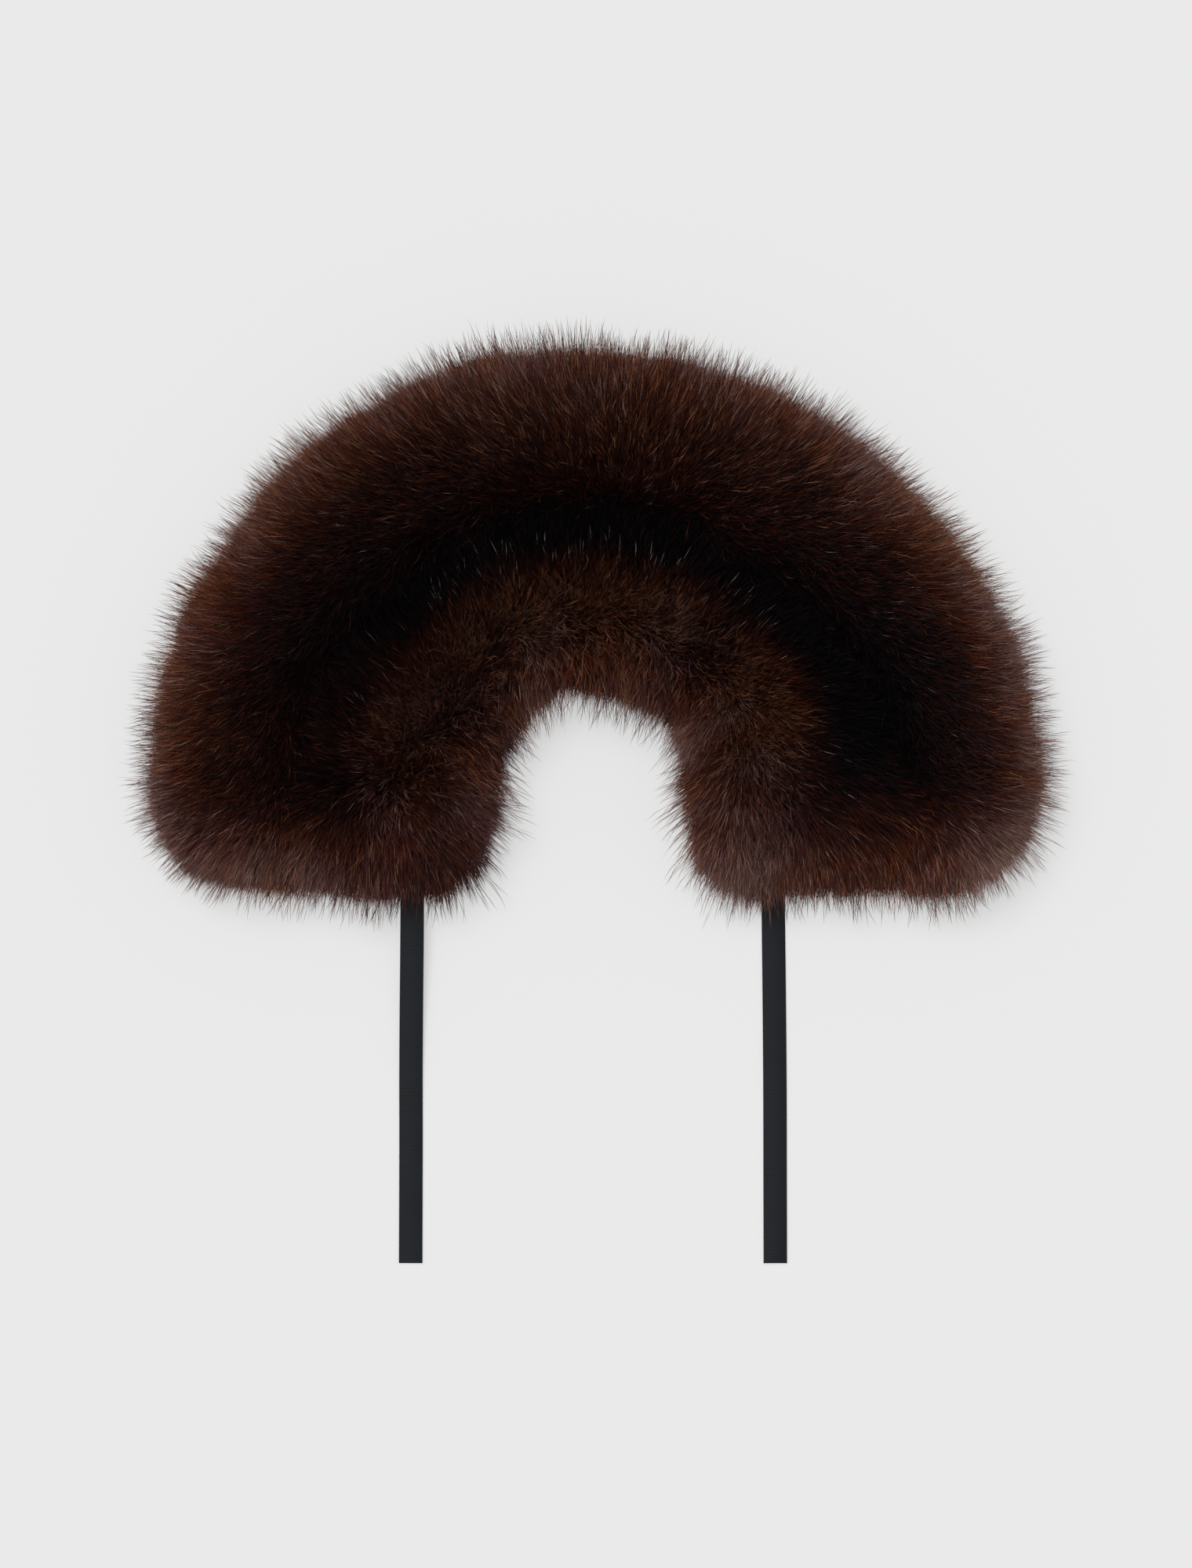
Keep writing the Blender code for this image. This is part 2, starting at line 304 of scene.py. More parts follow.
# clockwise from the direction away from the neck; the place is a share, or along the roll line
Slant = namedtuple("Slant", "place degrees")
FALL_SLANT = [Slant(0, 64), Slant(0.18, 54), Slant(0.5, 40), Slant(0.8, 28), Slant(1, 12)]
SLANT_TURN = (-50.0, 90.0)  # the fall's sweep changes from left to right between these
RIM_FROM = (0.72, 1.0)  # across the fall, the rim's own slant takes over between these shares
RIM_SLANT = [
    Slant(-298, -12), Slant(-196, -12), Slant(-157, -3), Slant(-112, -13), Slant(-65, -13),
    Slant(-20, -5), Slant(20, 1), Slant(65, 4), Slant(112, 24), Slant(157, 19), Slant(196, 6),
    Slant(298, 9),
]
OUTER_SLANT = [Slant(-177, 20), Slant(-85, 20), Slant(0, -4), Slant(85, 8), Slant(177, 15)]
NECK_SLANT = [
    Slant(-298, 62), Slant(-200, 44), Slant(-157, 28), Slant(-110, 36), Slant(-66, 29),
    Slant(0, 4), Slant(85, -16), Slant(177, -36), Slant(298, -22),
]
NECK_FROM = (0.6, 0.9)  # across the stand, and the neck edge's between these

Crown = namedtuple("Crown", "x y")  # from the neck's centre
CROWNS = (Crown(-122.0, 18.0), Crown(76.0, 39.0))
CROWN_ABOVE = 10.0  # the fan starts this far above its crown
CROWN_BELOW = 45.0  # and is complete this far below it
FAN_LEAN = 38.0  # degrees; it grows to flat at the front edge
FAN_LENGTH = 70.0
HANG_LENGTH = 40.0  # this near the front edge, hairs turn to hang straight over it
HANG = 0.6  # this much of the way, at the edge itself
HANG_TO = Vector((-0.35, -1.0, 0.0))
FLAT_POWER = 1.6  # most of that growth is close to the front edge
NECK_EDGE = [(0.75, 0.95)]  # the shares where the stand turns into the opening
NECK_KEEPS = 0.6  # there, this much of the slant stays within the fan
KEEPS_ABOVE = (10, 60)  # but not at the front edge
MOST_LEVEL = 0.998  # no hair is quite level
PARTING = [(0.62, 0.81), (0.97, 0.81)]  # the shares where the stand's hairs part
PARTING_LEAN = 0.14  # there, they lean along the parting
PARTING_WANDER = (0.045, 0.040)
PARTING_WAVES = (19.0, 6.7)  # millimetres along the band for one radian of the wander
WANDERS_FROM = (0.4, 0.7)


def turned(direction, degrees):
    """The level direction turned clockwise, as seen from above."""
    angle = math.radians(degrees)
    x = direction.x * math.cos(angle) + direction.y * math.sin(angle)
    y = direction.y * math.cos(angle) - direction.x * math.sin(angle)
    return Vector((x, y, 0.0))


def wandered(along, share):
    """The share with a wander, so that the parting doesn't run parallel to the edge."""
    shifts = [size * math.sin(along / wave) for size, wave in zip(PARTING_WANDER, PARTING_WAVES)]
    return share + sum(shifts) * ease(share, *WANDERS_FROM)


def lie_at(band, along, share):
    """The unit direction of the hair tips, seen from their roots."""
    away = outward(along)
    front = ROLL_HALF - PELT_INSET - abs(along)
    if band.side > 0:
        lean = smooth(FALL_LEAN, share)[1]
        slant = smooth(FALL_SLANT, share)[1] * (2 * ease(along, *SLANT_TURN) - 1)
        slant += (smooth(RIM_SLANT, along)[1] - slant) * ease(share, *RIM_FROM)
    else:
        lean = smooth(STAND_LEAN, wandered(along, share))[1]
        slant = smooth(OUTER_SLANT, along)[1]
        slant += (smooth(NECK_SLANT, along)[1] - slant) * ease(share, *NECK_FROM)
    level = turned(away, slant) * math.sin(math.radians(lean))
    if band.side < 0:
        level += turned(away, 90) * PARTING_LEAN * within(wandered(along, share), PARTING)
    place = pelt_place(band, along, share)
    crown = CROWNS[along > 0]
    spoke = Vector((place.x - NECK_CENTRE[0] - crown.x, place.y - NECK_CENTRE[1] - crown.y, 0.0))
    hang = HANG * ease(front, HANG_LENGTH, 0)
    spoke = (spoke.normalized() * (1 - hang) + HANG_TO * hang).normalized()
    flat = FAN_LEAN + (90 - FAN_LEAN) * (1 - min(front / FAN_LENGTH, 1.0)) ** FLAT_POWER
    spoke *= max(math.sin(math.radians(flat)), abs(math.sin(math.radians(lean))))
    below = NECK_CENTRE[1] + crown.y - place.y
    fan = ease(below, -CROWN_ABOVE, CROWN_BELOW)
    if band.side < 0:
        fan *= 1 - NECK_KEEPS * within(share, NECK_EDGE) * ease(front, *KEEPS_ABOVE)
    level = level.lerp(spoke, fan)
    if level.length > MOST_LEVEL:
        level = level.normalized() * MOST_LEVEL
    return Vector((level.x, level.y, math.sqrt(1 - level.length_squared)))


for band in (FALL, STAND):
    print(band.name, "lie at the back:", [round(v, 2) for v in lie_at(band, 0.0, 0.5)])


# %% [markdown]
# ## The marks on the pelt
#
# More marks go with the lie. `tone` is how light the hairs are made: their dye, with painted
# shade that makes them darkest in the furrow and painted light that makes them lightest at the rim.
# `variety` is how far the dye differs from hair to hair, `dip` how far down the hair it reaches,
# and
# `plum` the share of wisps whose dye took plum, and not chestnut. `tousle` is how much the wisps
# turn their own way, `gather` how closely their hairs draw together, and `reach` how long the hair
# is. The last marks say where a coat grows: `all` on the whole pelt, `guard` thinner towards the
# edges, where each guard hair shows by itself, and `furrow` where pale hairs stand, whose pale
# colour is a painted glint.

# %% The depth of the dye, and painted light and shade
Tone = namedtuple("Tone", "share light")
# painted shade and light: the fall is made darkest at the seam, in the furrow, and lightest at the
# rim
FALL_TONE = [
    Tone(0, 0.20), Tone(0.12, 0.40), Tone(0.25, 0.45), Tone(0.5, 0.54), Tone(0.75, 0.72),
    Tone(1, 1.0),
]
# painted shade and light: the stand's seam side, over the furrow, is made darkest and the neck edge
# light
STAND_TONE = [
    Tone(0, -0.2), Tone(0.3, -0.2), Tone(0.42, 0.0), Tone(0.52, 0.44), Tone(0.62, 0.68),
    Tone(0.76, 0.84), Tone(0.9, 0.72), Tone(1, 0.95),
]
LEFT_SHIFT = 0.07  # on the left the stand's tones lie this share nearer to the seam
LEFT_SHIFTS = (-100, -190)
STAND_VARIETY = 0.6
Flank = namedtuple("Flank", "along depth")  # how much darker the fall's sides are made
FLANKS = [
    Flank(-298, 0.02), Flank(-209, 0.12), Flank(-157, 0.23), Flank(-105, 0.20), Flank(-52, 0.12),
    Flank(0, 0.01), Flank(52, 0.08), Flank(105, 0.18), Flank(157, 0.27), Flank(209, 0.26),
    Flank(298, 0.06),
]
FLANK_SHARES = (0.87, 0.5)  # it starts at the first share and is complete at the second
FALL_VARIETY = 1.3
FLANK_EVENS = 2.2  # the darker a flank is made, the more even it is
RIM_EVENS, RIM_SHARES = 0.4, (0.5, 0.9)  # the part of that which is left at the rim
SEAM_VARIETY, SEAM_SHARES = 0.55, (0.0, 0.5)  # the part of the variety that the seam has
FADE = [(-130, -220)]  # on the left the furrow is less dark beyond here


def dye_and_painted_light_at(band, along, share):
    """The tone, with its painted light and shade, and the variety, before any zone."""
    if band.side < 0:
        inward = wandered(along, share) + LEFT_SHIFT * ease(along, *LEFT_SHIFTS)
        return smooth(STAND_TONE, inward)[1], STAND_VARIETY
    flank = smooth(FLANKS, along)[1]
    tone = smooth(FALL_TONE, share)[1] - flank * ease(share, *FLANK_SHARES)
    evens = FLANK_EVENS * (1 - (1 - RIM_EVENS) * ease(share, *RIM_SHARES))
    variety = FALL_VARIETY - evens * flank
    away = max(ease(share, *SEAM_SHARES), within(along, FADE))
    return tone, variety * (SEAM_VARIETY + (1 - SEAM_VARIETY) * away)


print("tone at the rim:", dye_and_painted_light_at(FALL, 0.0, 1.0)[0], "and at the seam:", dye_and_painted_light_at(FALL, 0.0, 0.0)[0])

# %% [markdown]
# No pelt is even, so the marks change by zones, and some zones on `tone` paint light and shade
# as well. A zone lies past all of its ramps, and a ramp is a pair of numbers: the change starts at
# the first and is complete at the second, whichever way that goes. The ramps run along the roll
# line, across the band, and in from the front edge. A table of zones is easier to read and to
# adjust than a long formula for each mark. The order of its rows matters, as each one changes what
# the rows above it left. Round patches with soft edges come on top.

# %% Zones
CHANGES = {
    "add": lambda value, amount, part: value + amount * part,
    "least": lambda value, amount, part: max(value, amount * part),
    "towards": lambda value, amount, part: value + (amount - value) * part,
    "times": lambda value, amount, part: value * (1 + (amount - 1) * part),
}
Zone = namedtuple("Zone", "mark change amount along share front", defaults=((), (), ()))
BACK = [(-130, -50), (130, 50)]
OFF_FRONT = [(0, 30)]  # all but the front edge
FALL_ZONES = [
    # painted light and shade: the three tone rows below make parts of the fall darker or lighter
    Zone("tone", "add", -0.09, BACK, [(0.4, 0.7)]),
    Zone("tone", "add", 0.11, [(-75, -15), (105, 45)], [(0.34, 0.14)]),  # beside the furrow
    Zone("tone", "add", 0.10, FADE, [(0.4, 0.1)]),
    Zone("variety", "add", -0.15, [(-90, -180)]),
    Zone("variety", "add", -0.15, [(-90, -180)], [(0.5, 0.8)]),
    Zone("variety", "add", 0.15, [(-150, -60), (150, 60)], [(0.45, 0.7)]),
    Zone("reach", "add", 0.03, [(-130, -80), (130, 80)]),
    Zone("reach", "add", 0.05, [(80, 130)]),  # longer hair on the right
]
STAND_ZONES = [
    # painted light and shade: the first two rows change how dark the stand is made on the left
    Zone("tone", "least", 0.26, FADE),
    Zone("tone", "add", -0.14, [(-90, -180)], [(0.5, 0.7)]),
    Zone("plum", "add", 0.08, [(-40, -140)]),
    Zone("variety", "add", 1.8, (), [(0.50, 0.67)]),  # the light part is mottled
    Zone("variety", "least", 1.2, FADE),
    Zone("variety", "add", -0.9, (), [(0.76, 0.88)]),  # and the neck edge is even again
    Zone("variety", "add", -0.4, (), [(0.88, 0.97)]),
    Zone("variety", "add", -0.2, [(-110, -30)], [(0.88, 0.97)]),
    Zone("variety", "add", -0.3, [(20, 120)], [(0.4, 0.6)]),
    Zone("dip", "add", 0.5, (), [(0.45, 0.7), (1.0, 0.88)]),
    Zone("tousle", "add", 0.4, (), PARTING),
    Zone("all", "add", 0.4, (), [(0.82, 0.95)]),  # a denser fringe round the neck
    Zone("reach", "add", 0.15, (), NECK_EDGE),
    Zone("reach", "add", 0.24, [(140, 250)], NECK_EDGE, OFF_FRONT),
    Zone("reach", "add", -0.10, [(-215, -255)], NECK_EDGE, OFF_FRONT),
]

# %% Zones that both bands share
RIGHT_EDGE = ([(40, 160)], [(0.6, 0.9)])
PLUM_ZONES = [
    Zone("plum", "add", 0.34, (), [(0.6, 1.0)]),
    Zone("plum", "least", 0.28, (), (), [(75, 10)]),
    Zone("plum", "add", 0.18),
]
LAST_ZONES = [
    Zone("tone", "add", 0.10, *RIGHT_EDGE),  # painted light: the right side is made a little lighter, where it is lit more
    Zone("plum", "add", 0.20, *RIGHT_EDGE),
    Zone("variety", "towards", 1.25, (), (), [(75, 20)]),
    Zone("variety", "times", 0.65, (), (), [(85, 10)]),
    Zone("variety", "times", 0.92),
    Zone("tousle", "add", 0.3, (), (), [(50, 0)]),
    Zone("furrow", "times", 0.3, [(90, 190)]),
    Zone("furrow", "times", 0.3, [(-90, -190)]),
]


def front_zones(left_tone, right_tone):
    """A lighter tone that runs in from each front edge."""
    zones = []
    for tone, side in ((left_tone, [(-100, -150)]), (right_tone, [(100, 150)])):
        zones.append(Zone("tone", "least", 0.8 * tone, side, (), [(70, 0)]))
        zones.append(Zone("tone", "towards", tone, side, (), [(32, 0)]))
    return zones


ZONES = {
    "fall": PLUM_ZONES + FALL_ZONES + front_zones(1.02, 1.06) + LAST_ZONES,
    "stand": PLUM_ZONES + STAND_ZONES + front_zones(0.74, 0.91) + LAST_ZONES,
}
print("zones:", {name: len(zones) for name, zones in ZONES.items()})

# %% Patches, placed from the neck's centre
Patch = namedtuple("Patch", "x y size tone plum")
PATCHES = [
    Patch(58.0, 71.0, 20.0, -0.55, 0.0), Patch(-51.0, 70.0, 16.0, -0.45, 0.0),
    Patch(-66.0, 40.0, 26.0, -0.16, 0.0), Patch(100.0, 6.0, 28.0, -0.34, 0.0),
    Patch(-146.0, -24.0, 28.0, 0.26, 0.1), Patch(-80.0, -26.0, 28.0, -0.16, 0.0),
    Patch(134.0, -26.0, 26.0, -0.13, 0.0), Patch(174.0, -28.0, 24.0, -0.10, 0.3),
    Patch(-205.0, -8.0, 28.0, 0.10, 0.9), Patch(204.0, -14.0, 26.0, 0.28, 0.6),
    Patch(150.0, 175.0, 26.0, 0.05, 0.5), Patch(10.0, 82.0, 22.0, -0.10, -0.2),
    Patch(-30.0, 70.0, 30.0, 0.0, -0.35), Patch(50.0, 88.0, 22.0, 0.0, -0.25),
]
print("patches:", len(PATCHES))

# %% The marks at a place
BORDER_SHARES, BORDER_DEPTHS = (1.0, 0.75), (0, 20)  # from the border of the cloth to inside it
AT_BORDER = {"tousle": 0.85, "gather": 0.6, "guard": 0.46}  # what the border has of these
# added to the reach there: for the left and the right front, at the seam and at the free edge
FRONT_REACH = {"fall": ((-0.08, -0.19), (-0.06, -0.14)), "stand": ((-0.05, 0.05), (-0.06, -0.04))}
FRONT_REACHES = (50, 0)
FURROW = [(0.36, 0.41), (0.49, 0.44)]  # the shares where pale hairs stand
FURROW_SHIFT, FURROW_SHIFTS = 0.08, (-100, 0)  # right of the back, this much nearer to the neck
CLUSTERING = 0.4  # of those hairs, by two waves
CLUSTERS = (9, 23)  # millimetres along the band for one radian of each


def marks_at(band, along, share):
    front = ROLL_HALF - PELT_INSET - abs(along)
    inside = min(ease(share, *BORDER_SHARES), ease(front, *BORDER_DEPTHS))
    marks = {label: part + (1 - part) * inside for label, part in AT_BORDER.items()}
    marks["tone"], marks["variety"] = dye_and_painted_light_at(band, along, share)
    at_seam, at_edge = FRONT_REACH[band.name][along > 0]
    change = (at_seam + (at_edge - at_seam) * share) * ease(front, *FRONT_REACHES)
    waves = math.sin(along / CLUSTERS[0]) * math.sin(along / CLUSTERS[1] + 1)
    furrow = within(share - FURROW_SHIFT * ease(along, *FURROW_SHIFTS), FURROW)
    furrow *= 1 - CLUSTERING + CLUSTERING * waves
    marks.update({"plum": 0.0, "dip": 0.0, "all": 1.0, "reach": 1.0 + change, "furrow": furrow})
    for zone in ZONES[band.name]:
        part = within(along, zone.along) * within(share, zone.share) * within(front, zone.front)
        marks[zone.mark] = CHANGES[zone.change](marks[zone.mark], zone.amount, part)
    place = pelt_place(band, along, share)
    for patch in PATCHES:
        x, y = place.x - NECK_CENTRE[0] - patch.x, place.y - NECK_CENTRE[1] - patch.y
        near = ease(math.hypot(x, y), patch.size, 0)
        marks["tone"] += patch.tone * near
        marks["plum"] += patch.plum * near
    return marks


# %% Building a pelt
def grid_mesh(name, band):
    """The cloth's upper side as a grid, with the lie and the marks on its points."""
    reach = ROLL_HALF - PELT_INSET
    points, lies, marks = [], [], []
    for i in range(ROWS + 1):
        even, gathered = 2 * i / ROWS - 1, -math.cos(math.pi * i / ROWS)
        along = reach * (even + (gathered - even) * ROWS_GATHER)
        for j in range(COLUMNS + 1):
            share = math.sin(math.pi / 2 * j / COLUMNS)
            points.append(pelt_place(band, along, share) * MM)
            lies.append(lie_at(band, along, share))
            marks.append(marks_at(band, along, share))
    width = COLUMNS + 1
    faces = []
    for i in range(ROWS):
        for j in range(COLUMNS):
            a = i * width + j
            face = (a, a + 1, a + width + 1, a + width)
            faces.append(face if band.side < 0 else face[::-1])
    mesh = bpy.data.meshes.new(name)
    mesh.from_pydata(points, [], faces)
    lie = mesh.attributes.new("lie", "FLOAT_VECTOR", "POINT")
    lie.data.foreach_set("vector", [v for direction in lies for v in direction])
    for label in marks[0]:
        values = [mark[label] for mark in marks]
        mesh.attributes.new(label, "FLOAT", "POINT").data.foreach_set("value", values)
    return mesh


roots = {band.name: grid_mesh("roots_" + band.name, band) for band in (FALL, STAND)}

# %% [markdown]
# ## One hair
#
# A hair is too thin to need a round section. A flat blade that narrows to both ends catches the
# light in the same way and costs two triangles, which matters when there are hundreds of
# thousands. It is widest near the tip, the part that shows. A blade holds no size: `rise` says
# how far up the hair a point is, and `side` on which side of it, and the tree below puts the
# points where they go.


# %% The blades
def make_blade(name, widest):
    """A kite of four points: the root, both sides at the widest place, and the tip."""
    rises, sides = [0.0, widest, widest, 1.0], [0.0, -1.0, 1.0, 0.0]
    corners = [(side, rise, 0.0) for side, rise in zip(sides, rises)]
    mesh = bpy.data.meshes.new(name)
    mesh.from_pydata(corners, [], [(0, 2, 1), (1, 2, 3)])
    mesh.attributes.new("rise", "FLOAT", "POINT").data.foreach_set("value", rises)
    mesh.attributes.new("side", "FLOAT", "POINT").data.foreach_set("value", sides)
    piece = bpy.data.objects.new(name, mesh)
    scene.collection.objects.link(piece)
    return piece


underfur_blade = make_blade("underfur_blade", widest=0.72)
guard_blade = make_blade("guard_blade", widest=0.84)
print("blades:", len(underfur_blade.data.polygons), len(guard_blade.data.polygons), "faces")

# %% [markdown]
# ## Growing the hairs
#
# Geometry Nodes do what repeats. The tree scatters roots over the pelt and puts a blade on each.
# It makes the instances real and then moves every point to its place on a curved hair: the hair
# starts between the pelt's own normal and the lie, and ends along the lie, with a droop. Hairs
# are never alone: static and wear gather them in wisps. A Voronoi pattern divides the pelt in
# cells, and each tip is pulled towards the middle of its cell, which is how wisps are made here.
# The colour is carried by a UV map, one column for each dye and the hair's length up the side,
# so a hair is dark at its root and shows its dye towards its tip.

# %% The inputs of the fur tree
DYE_STEPS = 48  # shades of each of the two dyes
LIGHTEST = 1.2  # the tone of the last shade
PALETTE_COLUMNS = 2 * DYE_STEPS
PALETTE_MAP = "OFBake"
# lengths in metres, density in hairs for each square metre, and the rest as shares
INPUTS = [
    ("Grows On", "NodeSocketString", "all"),
    ("Density", "NodeSocketFloat", 2.0e6),
    ("Length", "NodeSocketFloat", 0.028),
    ("Length Spread", "NodeSocketFloat", 0.2),
    ("Width", "NodeSocketFloat", 0.0003),
    ("Droop", "NodeSocketFloat", 0.1),
    ("Stray", "NodeSocketFloat", 0.15),
    ("Swirl", "NodeSocketFloat", 0.15),
    ("Wisp Size", "NodeSocketFloat", 0.0015),
    ("Wisp Pull", "NodeSocketFloat", 0.5),
    ("Wisp Turn", "NodeSocketFloat", 0.2),
    ("Wisp Tone", "NodeSocketFloat", 0.2),
    ("Wisp Length", "NodeSocketFloat", 0.1),
    ("Tone", "NodeSocketFloat", 0.0),
    ("Tone Spread", "NodeSocketFloat", 0.1),
    ("Seed", "NodeSocketInt", 1),
    ("Blade", "NodeSocketObject", None),
    ("Material", "NodeSocketMaterial", None),
]

tree = bpy.data.node_groups.new("grow_fur", "GeometryNodeTree")
tree.interface.new_socket("Geometry", in_out="INPUT", socket_type="NodeSocketGeometry")
for label, kind, default in INPUTS:
    socket = tree.interface.new_socket(label, in_out="INPUT", socket_type=kind)
    if default is not None:
        socket.default_value = default
tree.interface.new_socket("Geometry", in_out="OUTPUT", socket_type="NodeSocketGeometry")
given = tree.nodes.new("NodeGroupInput").outputs
result = tree.nodes.new("NodeGroupOutput").inputs

# %% Roots and wisps
# two maths nodes, two for attributes and one for chance serve every tree below
MATH, VECTOR_MATH = "ShaderNodeMath", "ShaderNodeVectorMath"
READ, STORE = "GeometryNodeInputNamedAttribute", "GeometryNodeStoreNamedAttribute"
RANDOM = "FunctionNodeRandomValue"
TUFT_WISPS = 3.0  # a tuft is this many times as wide as the wisps that it holds
TUFT_PULL = 0.15
TUFT_CHANCE = 0.2  # the part of a wisp's chance that it shares with its tuft
EVENNESS = (-1.0, -1.0, -1.0)  # turns a chance of 0 to 2 into one of -1 to 1

cover = add(tree, READ, {"Name": given["Grows On"]}, data_type="FLOAT")
density = add(tree, MATH, (given["Density"], cover), operation="MULTIPLY")
inputs = {"Mesh": given["Geometry"], "Density": density, "Seed": given["Seed"]}
scatter = add(tree, "GeometryNodeDistributePointsOnFaces", inputs, out=None).outputs
points, skin = scatter["Points"], scatter["Normal"]
root = add(tree, "GeometryNodeInputPosition")

scale = add(tree, MATH, (1.0, given["Wisp Size"]), operation="DIVIDE")
wisp = add(tree, "ShaderNodeTexVoronoi", {"Vector": root, "Scale": scale}, out=None).outputs
scale = add(tree, MATH, (scale, TUFT_WISPS), operation="DIVIDE")
tuft = add(tree, "ShaderNodeTexVoronoi", {"Vector": root, "Scale": scale}, out=None).outputs
pull = add(tree, VECTOR_MATH, (wisp["Position"], root), operation="SUBTRACT")
pull = add(tree, VECTOR_MATH, (pull, given["Wisp Pull"]), operation="MULTIPLY")
to_tuft = add(tree, VECTOR_MATH, (tuft["Position"], root), operation="SUBTRACT")
pull = add(tree, VECTOR_MATH, (to_tuft, (TUFT_PULL,) * 3, pull), operation="MULTIPLY_ADD")
gather = add(tree, READ, {"Name": "gather"}, data_type="FLOAT")
pull = add(tree, VECTOR_MATH, (pull, gather), operation="MULTIPLY")
inputs = (tuft["Color"], (2 * TUFT_CHANCE,) * 3, EVENNESS)
chance = add(tree, VECTOR_MATH, inputs, operation="MULTIPLY_ADD")
inputs = (wisp["Color"], (2 - 2 * TUFT_CHANCE,) * 3, chance)
chance = add(tree, VECTOR_MATH, inputs, operation="MULTIPLY_ADD")
wisp_chance = add(tree, "ShaderNodeSeparateXYZ", (chance,), out=None).outputs

# %% Direction: the lie, with a slow swirl, the wisp's own turn and each hair's stray
SWIRL_SIZE = 0.018  # metres; broad, slow changes of direction
UPRIGHT_START = 0.8  # how much of the skin's normal is in the hair's first stretch
UNEVEN = 0.15  # the same slow noise makes the pile longer here and shorter there

inputs = {"Vector": root, "Scale": 1 / SWIRL_SIZE, "Detail": 2.0}
noise = add(tree, "ShaderNodeTexNoise", inputs, out="Color", normalize=False)
aim = add(tree, READ, {"Name": "lie"}, data_type="FLOAT_VECTOR")
aim = add(tree, VECTOR_MATH, (noise, given["Swirl"], aim), operation="MULTIPLY_ADD")
tousle = add(tree, READ, {"Name": "tousle"}, data_type="FLOAT")
turn = add(tree, MATH, (given["Wisp Turn"], tousle), operation="MULTIPLY")
aim = add(tree, VECTOR_MATH, (chance, turn, aim), operation="MULTIPLY_ADD")
inputs = {0: (-1, -1, -1), 1: (1, 1, 1), "Seed": 1}
stray = add(tree, RANDOM, inputs, data_type="FLOAT_VECTOR")
aim = add(tree, VECTOR_MATH, (stray, given["Stray"], aim), operation="MULTIPLY_ADD")
aim = add(tree, VECTOR_MATH, (aim,), operation="NORMALIZE")

inputs = {2: -1.0, 3: 1.0, "Seed": 2}
length = add(tree, RANDOM, inputs, out=1, data_type="FLOAT")
length = add(tree, MATH, (length, given["Length Spread"], 1.0), operation="MULTIPLY_ADD")
inputs = (wisp_chance["Z"], given["Wisp Length"], length)
length = add(tree, MATH, inputs, operation="MULTIPLY_ADD")
slow = add(tree, "ShaderNodeSeparateXYZ", (noise,), out="Z")
length = add(tree, MATH, (slow, UNEVEN, length), operation="MULTIPLY_ADD")
reach = add(tree, READ, {"Name": "reach"}, data_type="FLOAT")
length = add(tree, MATH, (length, reach), operation="MULTIPLY")
length = add(tree, MATH, (length, given["Length"]), operation="MULTIPLY")
upright = (UPRIGHT_START,) * 3
start = add(tree, VECTOR_MATH, (skin, upright, aim), operation="MULTIPLY_ADD")
start = add(tree, VECTOR_MATH, (start,), operation="NORMALIZE")
start = add(tree, VECTOR_MATH, (start, length), operation="MULTIPLY")
down = add(tree, "ShaderNodeCombineXYZ", {"Z": given["Droop"]})
finish = add(tree, VECTOR_MATH, (aim, down), operation="SUBTRACT")
finish = add(tree, VECTOR_MATH, (finish,), operation="NORMALIZE")
finish = add(tree, VECTOR_MATH, (finish, length), operation="MULTIPLY")

# %% The blade's width runs across the hair, turned by chance about it
TWIST = 1.0

inputs = {0: (-TWIST, -TWIST, 1 - TWIST), 1: (TWIST, TWIST, 1 + TWIST), "Seed": 3}
facing = add(tree, RANDOM, inputs, data_type="FLOAT_VECTOR")
across = add(tree, VECTOR_MATH, (aim, facing), operation="CROSS_PRODUCT")
across = add(tree, VECTOR_MATH, (across,), operation="NORMALIZE")
half_width = add(tree, MATH, (given["Width"], 0.5), operation="MULTIPLY")
across = add(tree, VECTOR_MATH, (across, half_width), operation="MULTIPLY")

# %% The tone: what the pelt says, with its painted light and shade, patches, the wisp's chance and the hair's chance
TONE_PATCH = 0.030  # metres; patches where the dye took lighter or darker
PATCH_DEPTH = 0.12  # how much lighter or darker
PLUM_PATCH = 0.65  # the lighter patches took more plum, too
RARE_POWER = 3.0  # most hairs are close to the pelt's tone, and a few are far from it
LAST_SHADE = 0.999 * LIGHTEST  # just inside the palette's last column

inputs = {"Vector": root, "Scale": 1 / TONE_PATCH, "Detail": 3.0}
patch = add(tree, "ShaderNodeTexNoise", inputs, out=None, normalize=False).outputs
tone = add(tree, READ, {"Name": "tone"}, data_type="FLOAT")
tone = add(tree, MATH, (tone, given["Tone"]), operation="ADD")
tone = add(tree, MATH, (patch[0], PATCH_DEPTH, tone), operation="MULTIPLY_ADD")
inputs = {2: -1.0, 3: 1.0, "Seed": 4}
hair_chance = add(tree, RANDOM, inputs, out=1, data_type="FLOAT")
hair_chance = add(tree, MATH, (hair_chance, RARE_POWER), operation="POWER")
differs = add(tree, MATH, (hair_chance, given["Tone Spread"]), operation="MULTIPLY")
inputs = (wisp_chance["X"], given["Wisp Tone"], differs)
differs = add(tree, MATH, inputs, operation="MULTIPLY_ADD")
variety = add(tree, READ, {"Name": "variety"}, data_type="FLOAT")
tone = add(tree, MATH, (differs, variety, tone), operation="MULTIPLY_ADD")
tone = add(tree, "ShaderNodeClamp", (tone, 0.0, LAST_SHADE))

plum = add(tree, READ, {"Name": "plum"}, data_type="FLOAT")
plum = add(tree, MATH, (patch[0], PLUM_PATCH, plum), operation="MULTIPLY_ADD")
draw = add(tree, MATH, (wisp_chance["Y"], 0.5, 0.5), operation="MULTIPLY_ADD")
plum = add(tree, MATH, (draw, plum), operation="LESS_THAN")
column = add(tree, MATH, (tone, DYE_STEPS / LIGHTEST), operation="MULTIPLY")
column = add(tree, MATH, (column,), operation="FLOOR")
column = add(tree, MATH, (plum, float(DYE_STEPS), column), operation="MULTIPLY_ADD")

